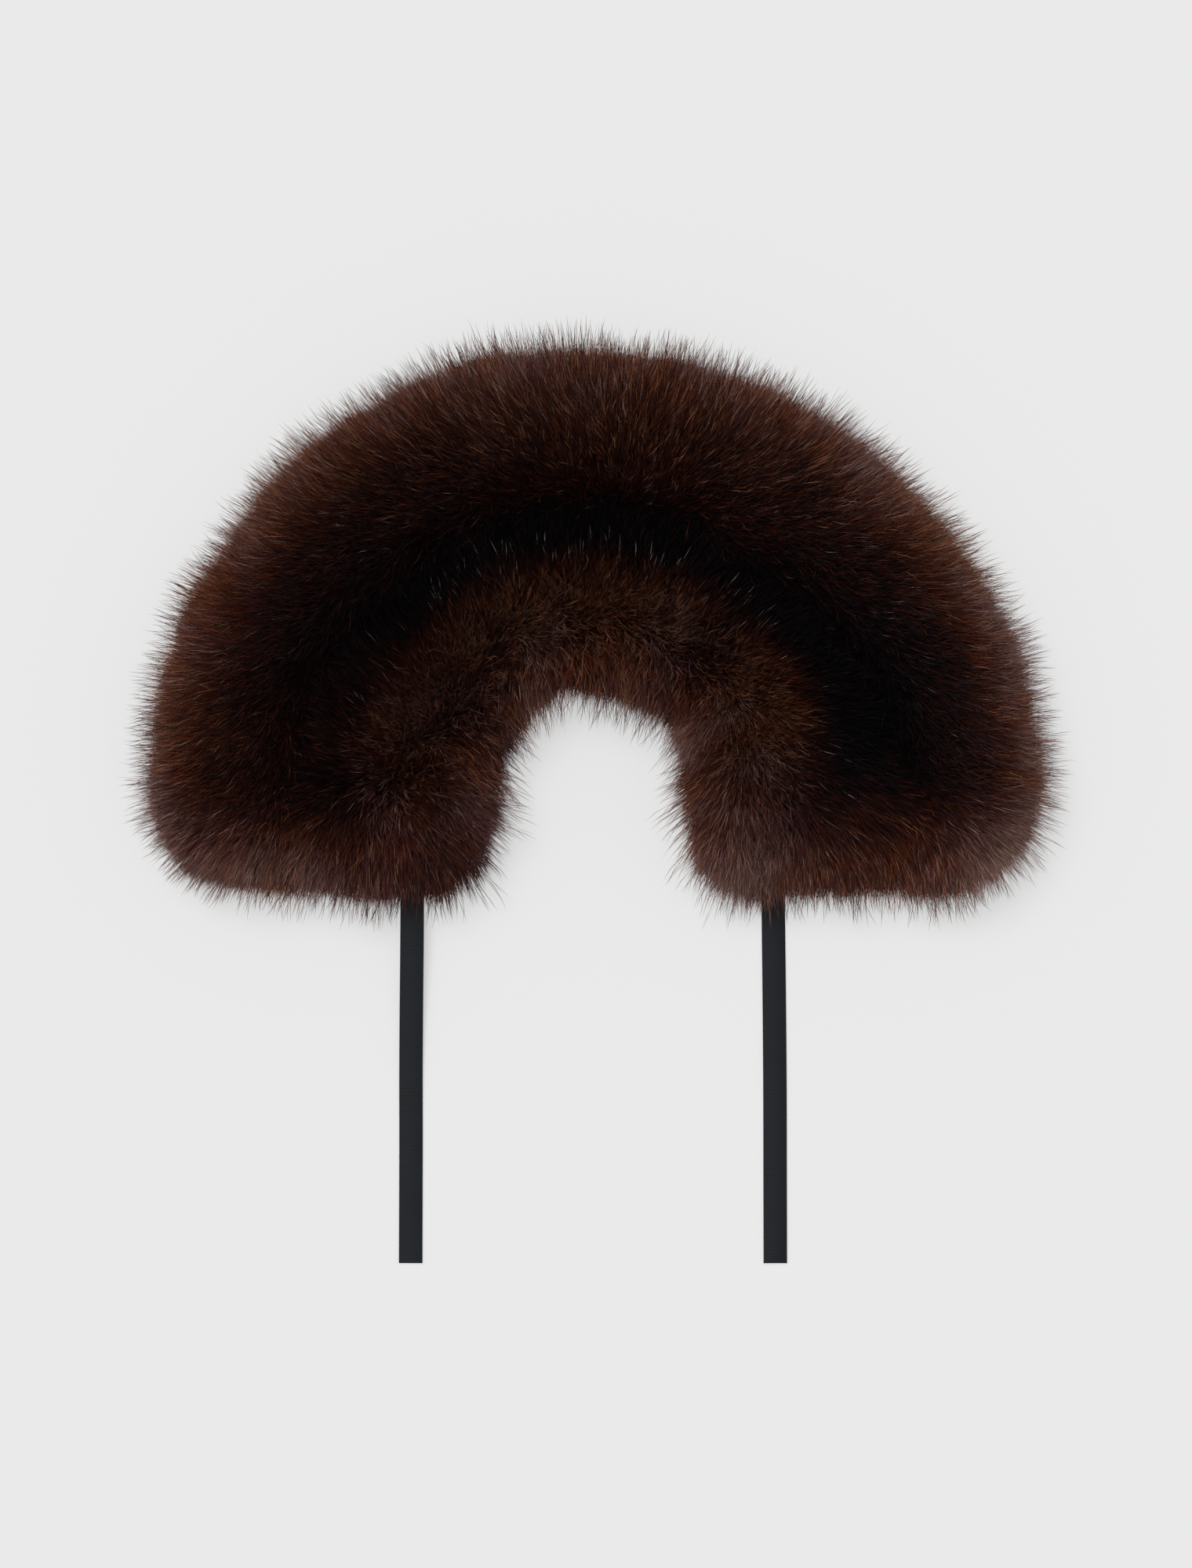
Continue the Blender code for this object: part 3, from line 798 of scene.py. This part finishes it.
# %% A blade on every root, with its hair's own numbers
HAIR_VECTORS = {"root": root, "start": start, "finish": finish, "pull": pull, "across": across}
for label, value in HAIR_VECTORS.items():
    inputs = {"Geometry": points, "Name": label, "Value": value}
    points = add(tree, STORE, inputs, data_type="FLOAT_VECTOR", domain="POINT")
dip = add(tree, READ, {"Name": "dip"}, data_type="FLOAT")
for label, value in {"column": column, "hair_dip": dip}.items():
    inputs = {"Geometry": points, "Name": label, "Value": value}
    points = add(tree, STORE, inputs, data_type="FLOAT", domain="POINT")
one_blade = add(tree, "GeometryNodeObjectInfo", {"Object": given["Blade"]}, out="Geometry")
hairs = add(tree, "GeometryNodeInstanceOnPoints", {"Points": points, "Instance": one_blade})
hairs = add(tree, "GeometryNodeRealizeInstances", {"Geometry": hairs})

# %% Every point to its place on its hair
GATHER_POWER = 1.5  # wisps gather near their tips
LOWEST = 0.0006  # no hair goes lower than this
SETTLE_FROM = 0.048  # above this the pile has settled under its own weight
SETTLE = 0.5  # by this share of the height above it

rise = add(tree, READ, {"Name": "rise"}, data_type="FLOAT")
side = add(tree, READ, {"Name": "side"}, data_type="FLOAT")
half_square = add(tree, MATH, (rise, 2.0), operation="POWER")
half_square = add(tree, MATH, (half_square, 0.5), operation="MULTIPLY")
straight = add(tree, MATH, (rise, half_square), operation="SUBTRACT")
gather = add(tree, MATH, (rise, GATHER_POWER), operation="POWER")
place = add(tree, READ, {"Name": "root"}, data_type="FLOAT_VECTOR")
weights = {"start": straight, "finish": half_square, "pull": gather, "across": side}
for label, weight in weights.items():
    part = add(tree, READ, {"Name": label}, data_type="FLOAT_VECTOR")
    place = add(tree, VECTOR_MATH, (part, weight, place), operation="MULTIPLY_ADD")
place = add(tree, VECTOR_MATH, (place, (-1.0, -1.0, LOWEST)), operation="MAXIMUM")
over = add(tree, VECTOR_MATH, (place, (1.0, 1.0, SETTLE_FROM)), operation="SUBTRACT")
over = add(tree, VECTOR_MATH, (over, (0.0, 0.0, 0.0)), operation="MAXIMUM")
place = add(tree, VECTOR_MATH, (over, (-SETTLE,) * 3, place), operation="MULTIPLY_ADD")
hairs = add(tree, "GeometryNodeSetPosition", {"Geometry": hairs, "Position": place})

# %% The palette's columns: the dye picks one, and the blade's width stays inside it
COLUMN_INSIDE = 0.35  # of a column, to each side of its middle
MAP_MARGIN = 0.02  # the blades keep this far from the map's lower and upper edge

column = add(tree, READ, {"Name": "column"}, data_type="FLOAT")
u = add(tree, MATH, (side, COLUMN_INSIDE, 0.5), operation="MULTIPLY_ADD")
u = add(tree, MATH, (u, column), operation="ADD")
u = add(tree, MATH, (u, float(PALETTE_COLUMNS)), operation="DIVIDE")
dip = add(tree, READ, {"Name": "hair_dip"}, data_type="FLOAT")
v = add(tree, "ShaderNodeMix", {0: dip, 2: rise, 3: 1.0})
v = add(tree, MATH, (v, 1 - 2 * MAP_MARGIN, MAP_MARGIN), operation="MULTIPLY_ADD")
uv = add(tree, "ShaderNodeCombineXYZ", (u, v))
inputs = {"Geometry": hairs, "Name": PALETTE_MAP, "Value": uv}
hairs = add(tree, STORE, inputs, data_type="FLOAT2", domain="CORNER")
hairs = add(tree, "GeometryNodeSetMaterial", {"Geometry": hairs, "Material": given["Material"]})
tree.links.new(hairs, result["Geometry"])
print("fur tree:", len(tree.nodes), "nodes")

# %% [markdown]
# ## The fur's finish
#
# The pile is modacrylic fibre, spun fine, dyed in the mass and sheared to taper. Each fibre is
# smooth, so it glints where it turns to the light, and it is darkest at the root. One palette
# serves all hairs: a chestnut dye and a plum one, each from near black to pale. The material
# reads it from the UV map, so each hair has one even colour across its width.

# %% Fur materials
CHESTNUT = [
    (0.00, "#0D0E13"), (0.20, "#1B1215"), (0.40, "#381913"), (0.58, "#502213"),
    (0.74, "#632D17"), (0.88, "#733D25"), (1.00, "#8A573D"), (1.20, "#AE7858"),
]
PLUM = [
    (0.00, "#0D0E13"), (0.20, "#1A1218"), (0.40, "#321A1C"), (0.58, "#482422"),
    (0.74, "#5B302D"), (0.88, "#69403D"), (1.00, "#815C55"), (1.20, "#A88378"),
]
# painted glint: the near-white colour of a few hairs stands in for glints of light on them
PAINTED_GLINT_SHADES = [(0.0, "#544E4C"), (1.2, "#C8C0BC")]
ROOT_DYE = "#0A090A"
DYE_MARGIN = 0.001  # keeps the ends of one dye's colours clear of the next dye's


def fur_material(name, dyes, roughness, gloss, shows, full, tip_dark):
    """Fibre with its dye from `shows` to `full` of its length, and a darker tip if asked."""
    material = bpy.data.materials.new(name)
    material.use_nodes = True
    nodes = material.node_tree
    shader = nodes.nodes["Principled BSDF"]
    uv_map = add(nodes, "ShaderNodeUVMap", uv_map=PALETTE_MAP)
    parts = add(nodes, "ShaderNodeSeparateXYZ", (uv_map,), out=None).outputs
    ramp = add(nodes, "ShaderNodeValToRGB", (parts["X"],), out=None)
    stops = ramp.color_ramp.elements
    stops.remove(stops[1])
    for k, dye in enumerate(dyes):
        for position, colour in dye:
            share = DYE_MARGIN + (1 - 2 * DYE_MARGIN) * position / LIGHTEST
            stops.new((k + share) / len(dyes)).color = linear(colour)
    stops.remove(stops[0])
    along = add(nodes, "ShaderNodeValToRGB", (parts["Y"],), out=None)
    steps = along.color_ramp.elements
    steps[0].position = shows
    steps[1].color = (1 - tip_dark,) * 3 + (1,)
    steps.new(full).color = (1, 1, 1, 1)
    inputs = {0: along.outputs["Color"], 6: linear(ROOT_DYE), 7: ramp.outputs["Color"]}
    mixed = add(nodes, "ShaderNodeMix", inputs, out=2, data_type="RGBA")
    nodes.links.new(mixed, shader.inputs["Base Color"])
    shader.inputs["Roughness"].default_value = roughness
    shader.inputs["Specular IOR Level"].default_value = gloss
    return material


# short crimped fibres, matt; longer straight ones with dark tips; and a few pale glossy ones, their
# pale colour a painted glint
underfur = fur_material("modacrylic_underfur", [CHESTNUT, PLUM], roughness=0.60, gloss=0.10,
                        shows=0.46, full=0.88, tip_dark=0.0)
guard_fur = fur_material("modacrylic_guard_hair", [CHESTNUT, PLUM], roughness=0.45, gloss=0.14,
                         shows=0.40, full=0.70, tip_dark=0.95)
painted_glint_fur = fur_material("pale_guard_hair", [PAINTED_GLINT_SHADES, PAINTED_GLINT_SHADES], roughness=0.35, gloss=0.5,
                        shows=0.55, full=0.80, tip_dark=0.0)
print("fur materials:", [material.name for material in (underfur, guard_fur, painted_glint_fur)])

# %% [markdown]
# The cloth under the hairs hardly shows. It is a knitted backing, dyed as dark as the roots, with
# the knit's fine rows as a bump.

# %% Backing cloth
KNIT_RADIAN = 0.0009  # metres of cloth for one radian of its rows of knitting
WAVE_RADIANS = 20  # a wave texture runs through this many for each unit at a scale of 1

backing = bpy.data.materials.new("knitted_backing")
backing.use_nodes = True
nodes = backing.node_tree
shader = nodes.nodes["Principled BSDF"]
where = add(nodes, "ShaderNodeTexCoord", out="Object")
inputs = {"Vector": where, "Scale": 1 / KNIT_RADIAN / WAVE_RADIANS}
rows = add(nodes, "ShaderNodeTexWave", inputs, out="Fac")
inputs = {0: rows, 6: linear("#070403"), 7: linear("#120A07")}
colour = add(nodes, "ShaderNodeMix", inputs, out=2, data_type="RGBA")
nodes.links.new(colour, shader.inputs["Base Color"])
bump = add(nodes, "ShaderNodeBump", {"Strength": 0.3, "Distance": 0.0002, "Height": rows})
nodes.links.new(bump, shader.inputs["Normal"])
shader.inputs["Roughness"].default_value = 0.9
print("backing:", len(nodes.nodes), "nodes")


# %% Making the pelts
def evaluated_mesh(piece, name):
    """The piece's mesh as its modifiers leave it."""
    graph = bpy.context.evaluated_depsgraph_get()
    mesh = bpy.data.meshes.new_from_object(piece.evaluated_get(graph))
    mesh.name = name
    return mesh


def make_pelt(band):
    draft = bpy.data.objects.new("draft", roots[band.name].copy())
    scene.collection.objects.link(draft)
    wall = draft.modifiers.new("thickness", "SOLIDIFY")
    wall.thickness = PELT_THICKNESS * MM
    wall.offset = -1.0
    mesh = evaluated_mesh(draft, "pelt_" + band.name)
    bpy.data.objects.remove(draft)
    for label in ("lie", *marks_at(band, 0.0, 0.0)):
        mesh.attributes.remove(mesh.attributes[label])
    mesh.materials.append(backing)
    mesh.shade_smooth()
    pelt = bpy.data.objects.new("pelt_" + band.name, mesh)
    scene.collection.objects.link(pelt)
    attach(pelt, "root")
    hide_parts("fur_" + band.name)
    return pelt


pelts = {band.name: make_pelt(band) for band in (FALL, STAND)}
for pelt in pelts.values():
    low = min(v.co.z for v in pelt.data.vertices)
    high = max(v.co.z for v in pelt.data.vertices)
    print(pelt.name, "from", round(low, 4), "to", round(high, 4))


# %% [markdown]
# ## Growing each coat
#
# A pelt carries two coats. The underfur is short, dense and soft, and hides the cloth. The guard
# hair is longer and sparser, gives the pile its sheen, and makes the fringe at the edges. A few
# pale hairs are left in the furrow, and fewer still on the fall; their pale colour is a painted
# glint. Both coats come from the same tree with other sizes. The underfur is grown in two parts,
# so that no mesh gets too large.


# %% Running a tree, and one coat
def run_tree(tree, data, values, name):
    """The plain mesh that a tree makes from some data, with its inputs found by their labels."""
    draft = bpy.data.objects.new("draft", data)
    scene.collection.objects.link(draft)
    modifier = draft.modifiers.new("tree", "NODES")
    modifier.node_group = tree
    for item in tree.interface.items_tree:
        if item.in_out == "INPUT" and item.name in values:
            modifier[item.identifier] = values[item.name]
    mesh = evaluated_mesh(draft, name)
    bpy.data.objects.remove(draft)
    return mesh


MESH_PARTS = ("position", "material_index", "sharp_face", PALETTE_MAP)


def grow(name, band, blade_piece, material, **sizes):
    """One coat of hairs on one band's pelt, as a plain mesh."""
    values = {label.replace("_", " ").title(): value for label, value in sizes.items()}
    values.update({"Blade": blade_piece, "Material": material})
    mesh = run_tree(tree, roots[band.name], values, name)
    for label in [a.name for a in mesh.attributes]:
        if label[0] != "." and label not in MESH_PARTS:
            mesh.attributes.remove(mesh.attributes[label])
    piece = bpy.data.objects.new(name, mesh)
    scene.collection.objects.link(piece)
    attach(piece, "root")
    print(name, len(mesh.polygons), "triangles")
    return piece


# %% The coats
coats = {"fall": [], "stand": []}
under = dict(density=2.0e6, length=0.0254, width=0.00034, droop=0.10, stray=0.33, swirl=0.25,
             wisp_size=0.0008, wisp_pull=0.60, wisp_turn=0.26, wisp_tone=0.18, wisp_length=0.17,
             tone_spread=0.72, length_spread=0.08)
guard = dict(density=1.08e6, length=0.0357, width=0.00023, droop=0.06, stray=0.32, swirl=0.25,
             wisp_size=0.0014, wisp_pull=0.64, wisp_turn=0.32, wisp_tone=0.13, wisp_length=0.18,
             tone_spread=0.80, length_spread=0.10, tone=0.03, grows_on="guard")
# the pale hairs, whose near-white colour is a painted glint
pale = dict(length=0.0355, width=0.000125, droop=0.2, stray=0.18, swirl=0.16, wisp_pull=0.0,
            wisp_turn=0.08, wisp_tone=0.0, wisp_length=0.0, tone_spread=0.5, length_spread=0.06)
for part in (1, 2):
    for band in (FALL, STAND):
        seed = 10 * part + band.edge
        coats[band.name].append(
            grow(f"underfur_{band.name}_{part}", band, underfur_blade, underfur, seed=seed, **under)
        )
for band in (FALL, STAND):
    coats[band.name].append(
        grow(f"guard_hair_{band.name}", band, guard_blade, guard_fur, seed=50 + band.edge, **guard)
    )
coats["stand"].append(
    grow("pale_hair_stand", STAND, guard_blade, painted_glint_fur, seed=61, grows_on="furrow",
         density=0.125e6, tone=0.85, **pale)
)
coats["fall"].append(
    grow("pale_hair_fall", FALL, guard_blade, painted_glint_fur, seed=62, density=0.008e6, tone=0.1, **pale)
)
for piece in (underfur_blade, guard_blade):
    bpy.data.objects.remove(piece)

# %% [markdown]
# ## The ribbon ties
#
# Grosgrain is woven with thin warp threads over thick weft cords, so it is ribbed from edge to
# edge, and each cord turns back at the edge in a tiny loop, the picot. Both are the same wave
# along the ribbon, so one tree makes them: it runs a flat section along the tie's path, and then
# moves each point out or in by a cosine of its distance along the ribbon. The right tie lies flat
# on the floor. The left one comes out of the fur a little higher and settles further down.

# %% Ribbon sizes and paths, in millimetres
RIBBON_WIDTH = 12.5  # with its picots; it is sold as 12 mm
RIBBON_THICKNESS = 0.7
RIB_PITCH = 0.75
RIB_HEIGHT = 0.10
PICOT_REACH = 0.16
STEPS_PER_RIB = 4

END_WIDTH = 0.8  # of the ribbon's width, at the very end of a worn cut
EDGE_ROUNDING = 0.4  # of the thickness
REST_HEIGHT = 0.1  # keeps the ribs clear of the floor

# the corner is the length over which a worn cut end narrows; a point is the run below the neck's
# centre, x from it, and the height of the underside
Tie = namedtuple("Tie", "name corner points")
TIES = [
    Tie("left", 0.001, [
        (40.0, -95.7, 9.0), (64.0, -95.8, 9.0), (85.0, -96.0, 7.3), (120.0, -96.5, 3.4),
        (155.0, -96.8, 0.9), (190.0, -96.8, 0.1), (253.9, -97.0, 0.1),
    ]),
    Tie("right", 1.2, [
        (40.0, 94.9, 0.1), (64.0, 95.1, 0.1), (110.0, 95.6, 0.1), (160.0, 96.0, 0.1),
        (210.0, 96.1, 0.1), (253.9, 96.2, 0.1),
    ]),
]
PATH_STEP = 4.0


def tie_path(tie):
    """The middle of the tie as a line of points, in metres, and its length."""
    start, end = tie.points[0][0], tie.points[-1][0]
    count = round((end - start) / PATH_STEP)
    line = []
    for i in range(count + 1):
        run, x, height = smooth(tie.points, start + (end - start) * i / count)
        middle = max(height, REST_HEIGHT) + RIBBON_THICKNESS / 2 + RIB_HEIGHT
        line.append(Vector((NECK_CENTRE[0] + x, NECK_CENTRE[1] - run, middle)) * MM)
    return line, sum((b - a).length for a, b in zip(line, line[1:]))


# %% The ribbon tree
tree = bpy.data.node_groups.new("weave_ribbon", "GeometryNodeTree")
tree.interface.new_socket("Geometry", in_out="INPUT", socket_type="NodeSocketGeometry")
for label in ("Width", "Thickness", "Rib Pitch", "Rib Height", "Picot Reach", "Corner"):
    tree.interface.new_socket(label, in_out="INPUT", socket_type="NodeSocketFloat")
tree.interface.new_socket("Material", in_out="INPUT", socket_type="NodeSocketMaterial")
tree.interface.new_socket("Geometry", in_out="OUTPUT", socket_type="NodeSocketGeometry")
given = tree.nodes.new("NodeGroupInput").outputs
result = tree.nodes.new("NodeGroupOutput").inputs

# %% The ribbon's path and its flat section
step = add(tree, MATH, (given["Rib Pitch"], float(STEPS_PER_RIB)), operation="DIVIDE")
inputs = {"Curve": given["Geometry"], "Length": step}
path = add(tree, "GeometryNodeResampleCurve", inputs, mode="LENGTH")
run = add(tree, "GeometryNodeSplineParameter", out="Length")
total = add(tree, "GeometryNodeSplineLength", out="Length")
inputs = {"Geometry": path, "Name": "run", "Value": run}
path = add(tree, STORE, inputs, data_type="FLOAT", domain="POINT")
path = add(tree, "GeometryNodeSetCurveNormal", {"Curve": path}, mode="Z_UP")
left_over = add(tree, MATH, (total, run), operation="SUBTRACT")
near_end = add(tree, MATH, (left_over, given["Corner"]), operation="DIVIDE")
near_end = add(tree, MATH, (near_end, 1.0), operation="MINIMUM")
narrow = add(tree, MATH, (near_end, 1 - END_WIDTH, END_WIDTH), operation="MULTIPLY_ADD")
path = add(tree, "GeometryNodeSetCurveRadius", {"Curve": path, "Radius": narrow})
inputs = {"Width": given["Width"], "Height": given["Thickness"]}
flat = add(tree, "GeometryNodeCurvePrimitiveQuadrilateral", inputs)
rounding = add(tree, MATH, (given["Thickness"], EDGE_ROUNDING), operation="MULTIPLY")
inputs = {"Curve": flat, "Count": 2, "Radius": rounding}
flat = add(tree, "GeometryNodeFilletCurve", inputs, mode="POLY")
inputs = {"Curve": path, "Profile Curve": flat, "Fill Caps": True}
ribbon = add(tree, "GeometryNodeCurveToMesh", inputs)

# %% The ribs and the picots
run = add(tree, READ, {"Name": "run"}, data_type="FLOAT")
turns = add(tree, MATH, (run, given["Rib Pitch"]), operation="DIVIDE")
turns = add(tree, MATH, (turns, 2 * math.pi), operation="MULTIPLY")
wave = add(tree, MATH, (turns,), operation="COSINE")
normal = add(tree, "GeometryNodeInputNormal")
sideways = add(tree, "ShaderNodeSeparateXYZ", (normal,))
sideways = add(tree, MATH, (sideways,), operation="ABSOLUTE")
inputs = {0: sideways, 2: given["Rib Height"], 3: given["Picot Reach"]}
reach = add(tree, "ShaderNodeMix", inputs)
reach = add(tree, MATH, (wave, reach), operation="MULTIPLY")
offset = add(tree, VECTOR_MATH, (normal, reach), operation="MULTIPLY")
rib = add(tree, MATH, (wave, 0.5, 0.5), operation="MULTIPLY_ADD")
inputs = {"Geometry": ribbon, "Name": "rib", "Value": rib}
ribbon = add(tree, STORE, inputs, data_type="FLOAT", domain="POINT")
ribbon = add(tree, "GeometryNodeSetPosition", {"Geometry": ribbon, "Offset": offset})
ribbon = add(tree, "GeometryNodeRealizeInstances", {"Geometry": ribbon})
ribbon = add(tree, "GeometryNodeSetMaterial", {"Geometry": ribbon, "Material": given["Material"]})
tree.links.new(ribbon, result["Geometry"])
print("ribbon tree:", len(tree.nodes), "nodes")

# %% [markdown]
# The yarn is black polyester with a slight blue cast. Its colour is made darker in the valleys
# between the cords, a painted shade where the light doesn't reach, and lighter on top of them, a
# painted sheen; in broad handled patches the threads are made lighter still, a painted sheen on
# real wear.

# %% Ribbon material
THREAD_SCALE = 2500.0  # per metre; fine enough for the warp threads
WEAR_SCALE = 60.0  # broad patches where the ribbon has been handled, made lighter there as a painted sheen

grosgrain = bpy.data.materials.new("black_polyester_grosgrain")
grosgrain.use_nodes = True
nodes = grosgrain.node_tree
shader = nodes.nodes["Principled BSDF"]
where = add(nodes, "ShaderNodeTexCoord", out="Object")
rib = add(nodes, "ShaderNodeAttribute", attribute_name="rib", out="Fac")
inputs = {"Vector": where, "Scale": THREAD_SCALE, "Detail": 2.0}
thread = add(nodes, "ShaderNodeTexNoise", inputs)
inputs = {"Vector": where, "Scale": WEAR_SCALE, "Detail": 2.0}
worn = add(nodes, "ShaderNodeTexNoise", inputs)
# painted shade and sheen: darker in the valleys between the cords, lighter on their tops
inputs = {0: rib, 6: linear("#07090A"), 7: linear("#15191E")}
colour = add(nodes, "ShaderNodeMix", inputs, out=2, data_type="RGBA")
# painted sheen: lighter threads in the handled patches
painted_lustre = add(nodes, MATH, (thread, worn), operation="MULTIPLY")
inputs = {0: painted_lustre, 6: colour, 7: linear("#1F252B")}
colour = add(nodes, "ShaderNodeMix", inputs, out=2, data_type="RGBA")
nodes.links.new(colour, shader.inputs["Base Color"])
bump = add(nodes, "ShaderNodeBump", {"Strength": 0.4, "Distance": 0.00008, "Height": thread})
nodes.links.new(bump, shader.inputs["Normal"])
shader.inputs["Roughness"].default_value = 0.6
shader.inputs["Specular IOR Level"].default_value = 0.2
print("grosgrain:", len(nodes.nodes), "nodes")


# %% Making the ties
def make_tie(tie):
    line, length = tie_path(tie)
    curve = bpy.data.curves.new("path", "CURVE")
    curve.dimensions = "3D"
    spline = curve.splines.new("POLY")
    spline.points.add(len(line) - 1)
    for point, place in zip(spline.points, line):
        point.co = (*place, 1.0)
    sizes = {"Width": RIBBON_WIDTH, "Thickness": RIBBON_THICKNESS, "Rib Pitch": RIB_PITCH,
             "Rib Height": RIB_HEIGHT, "Picot Reach": PICOT_REACH, "Corner": tie.corner}
    values = {label: size * MM for label, size in sizes.items()}
    mesh = run_tree(tree, curve, {**values, "Material": grosgrain}, "tie_" + tie.name)
    mesh.shade_smooth()
    piece = bpy.data.objects.new("tie_" + tie.name, mesh)
    scene.collection.objects.link(piece)
    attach(piece, "root")
    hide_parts("ribbon_" + tie.name)
    low = min(v.co.z for v in mesh.vertices)
    faces = len(mesh.polygons)
    print(piece.name, round(length, 4), "m long,", faces, "faces, lowest", round(low, 5))
    return piece


ties = [make_tie(tie) for tie in TIES]

# %% [markdown]
# ## The cloth's flat sizes
#
# The two pelts are sheets of cloth. For each, the sides of the rectangle that its half ring fits
# in are worked out from its points.

# %% Sheets
for band in (FALL, STAND):
    pelt = pelts[band.name]
    corners = [[v.co[k] for v in pelt.data.vertices] for k in (0, 1)]
    flat = tuple(max(side) - min(side) for side in corners)
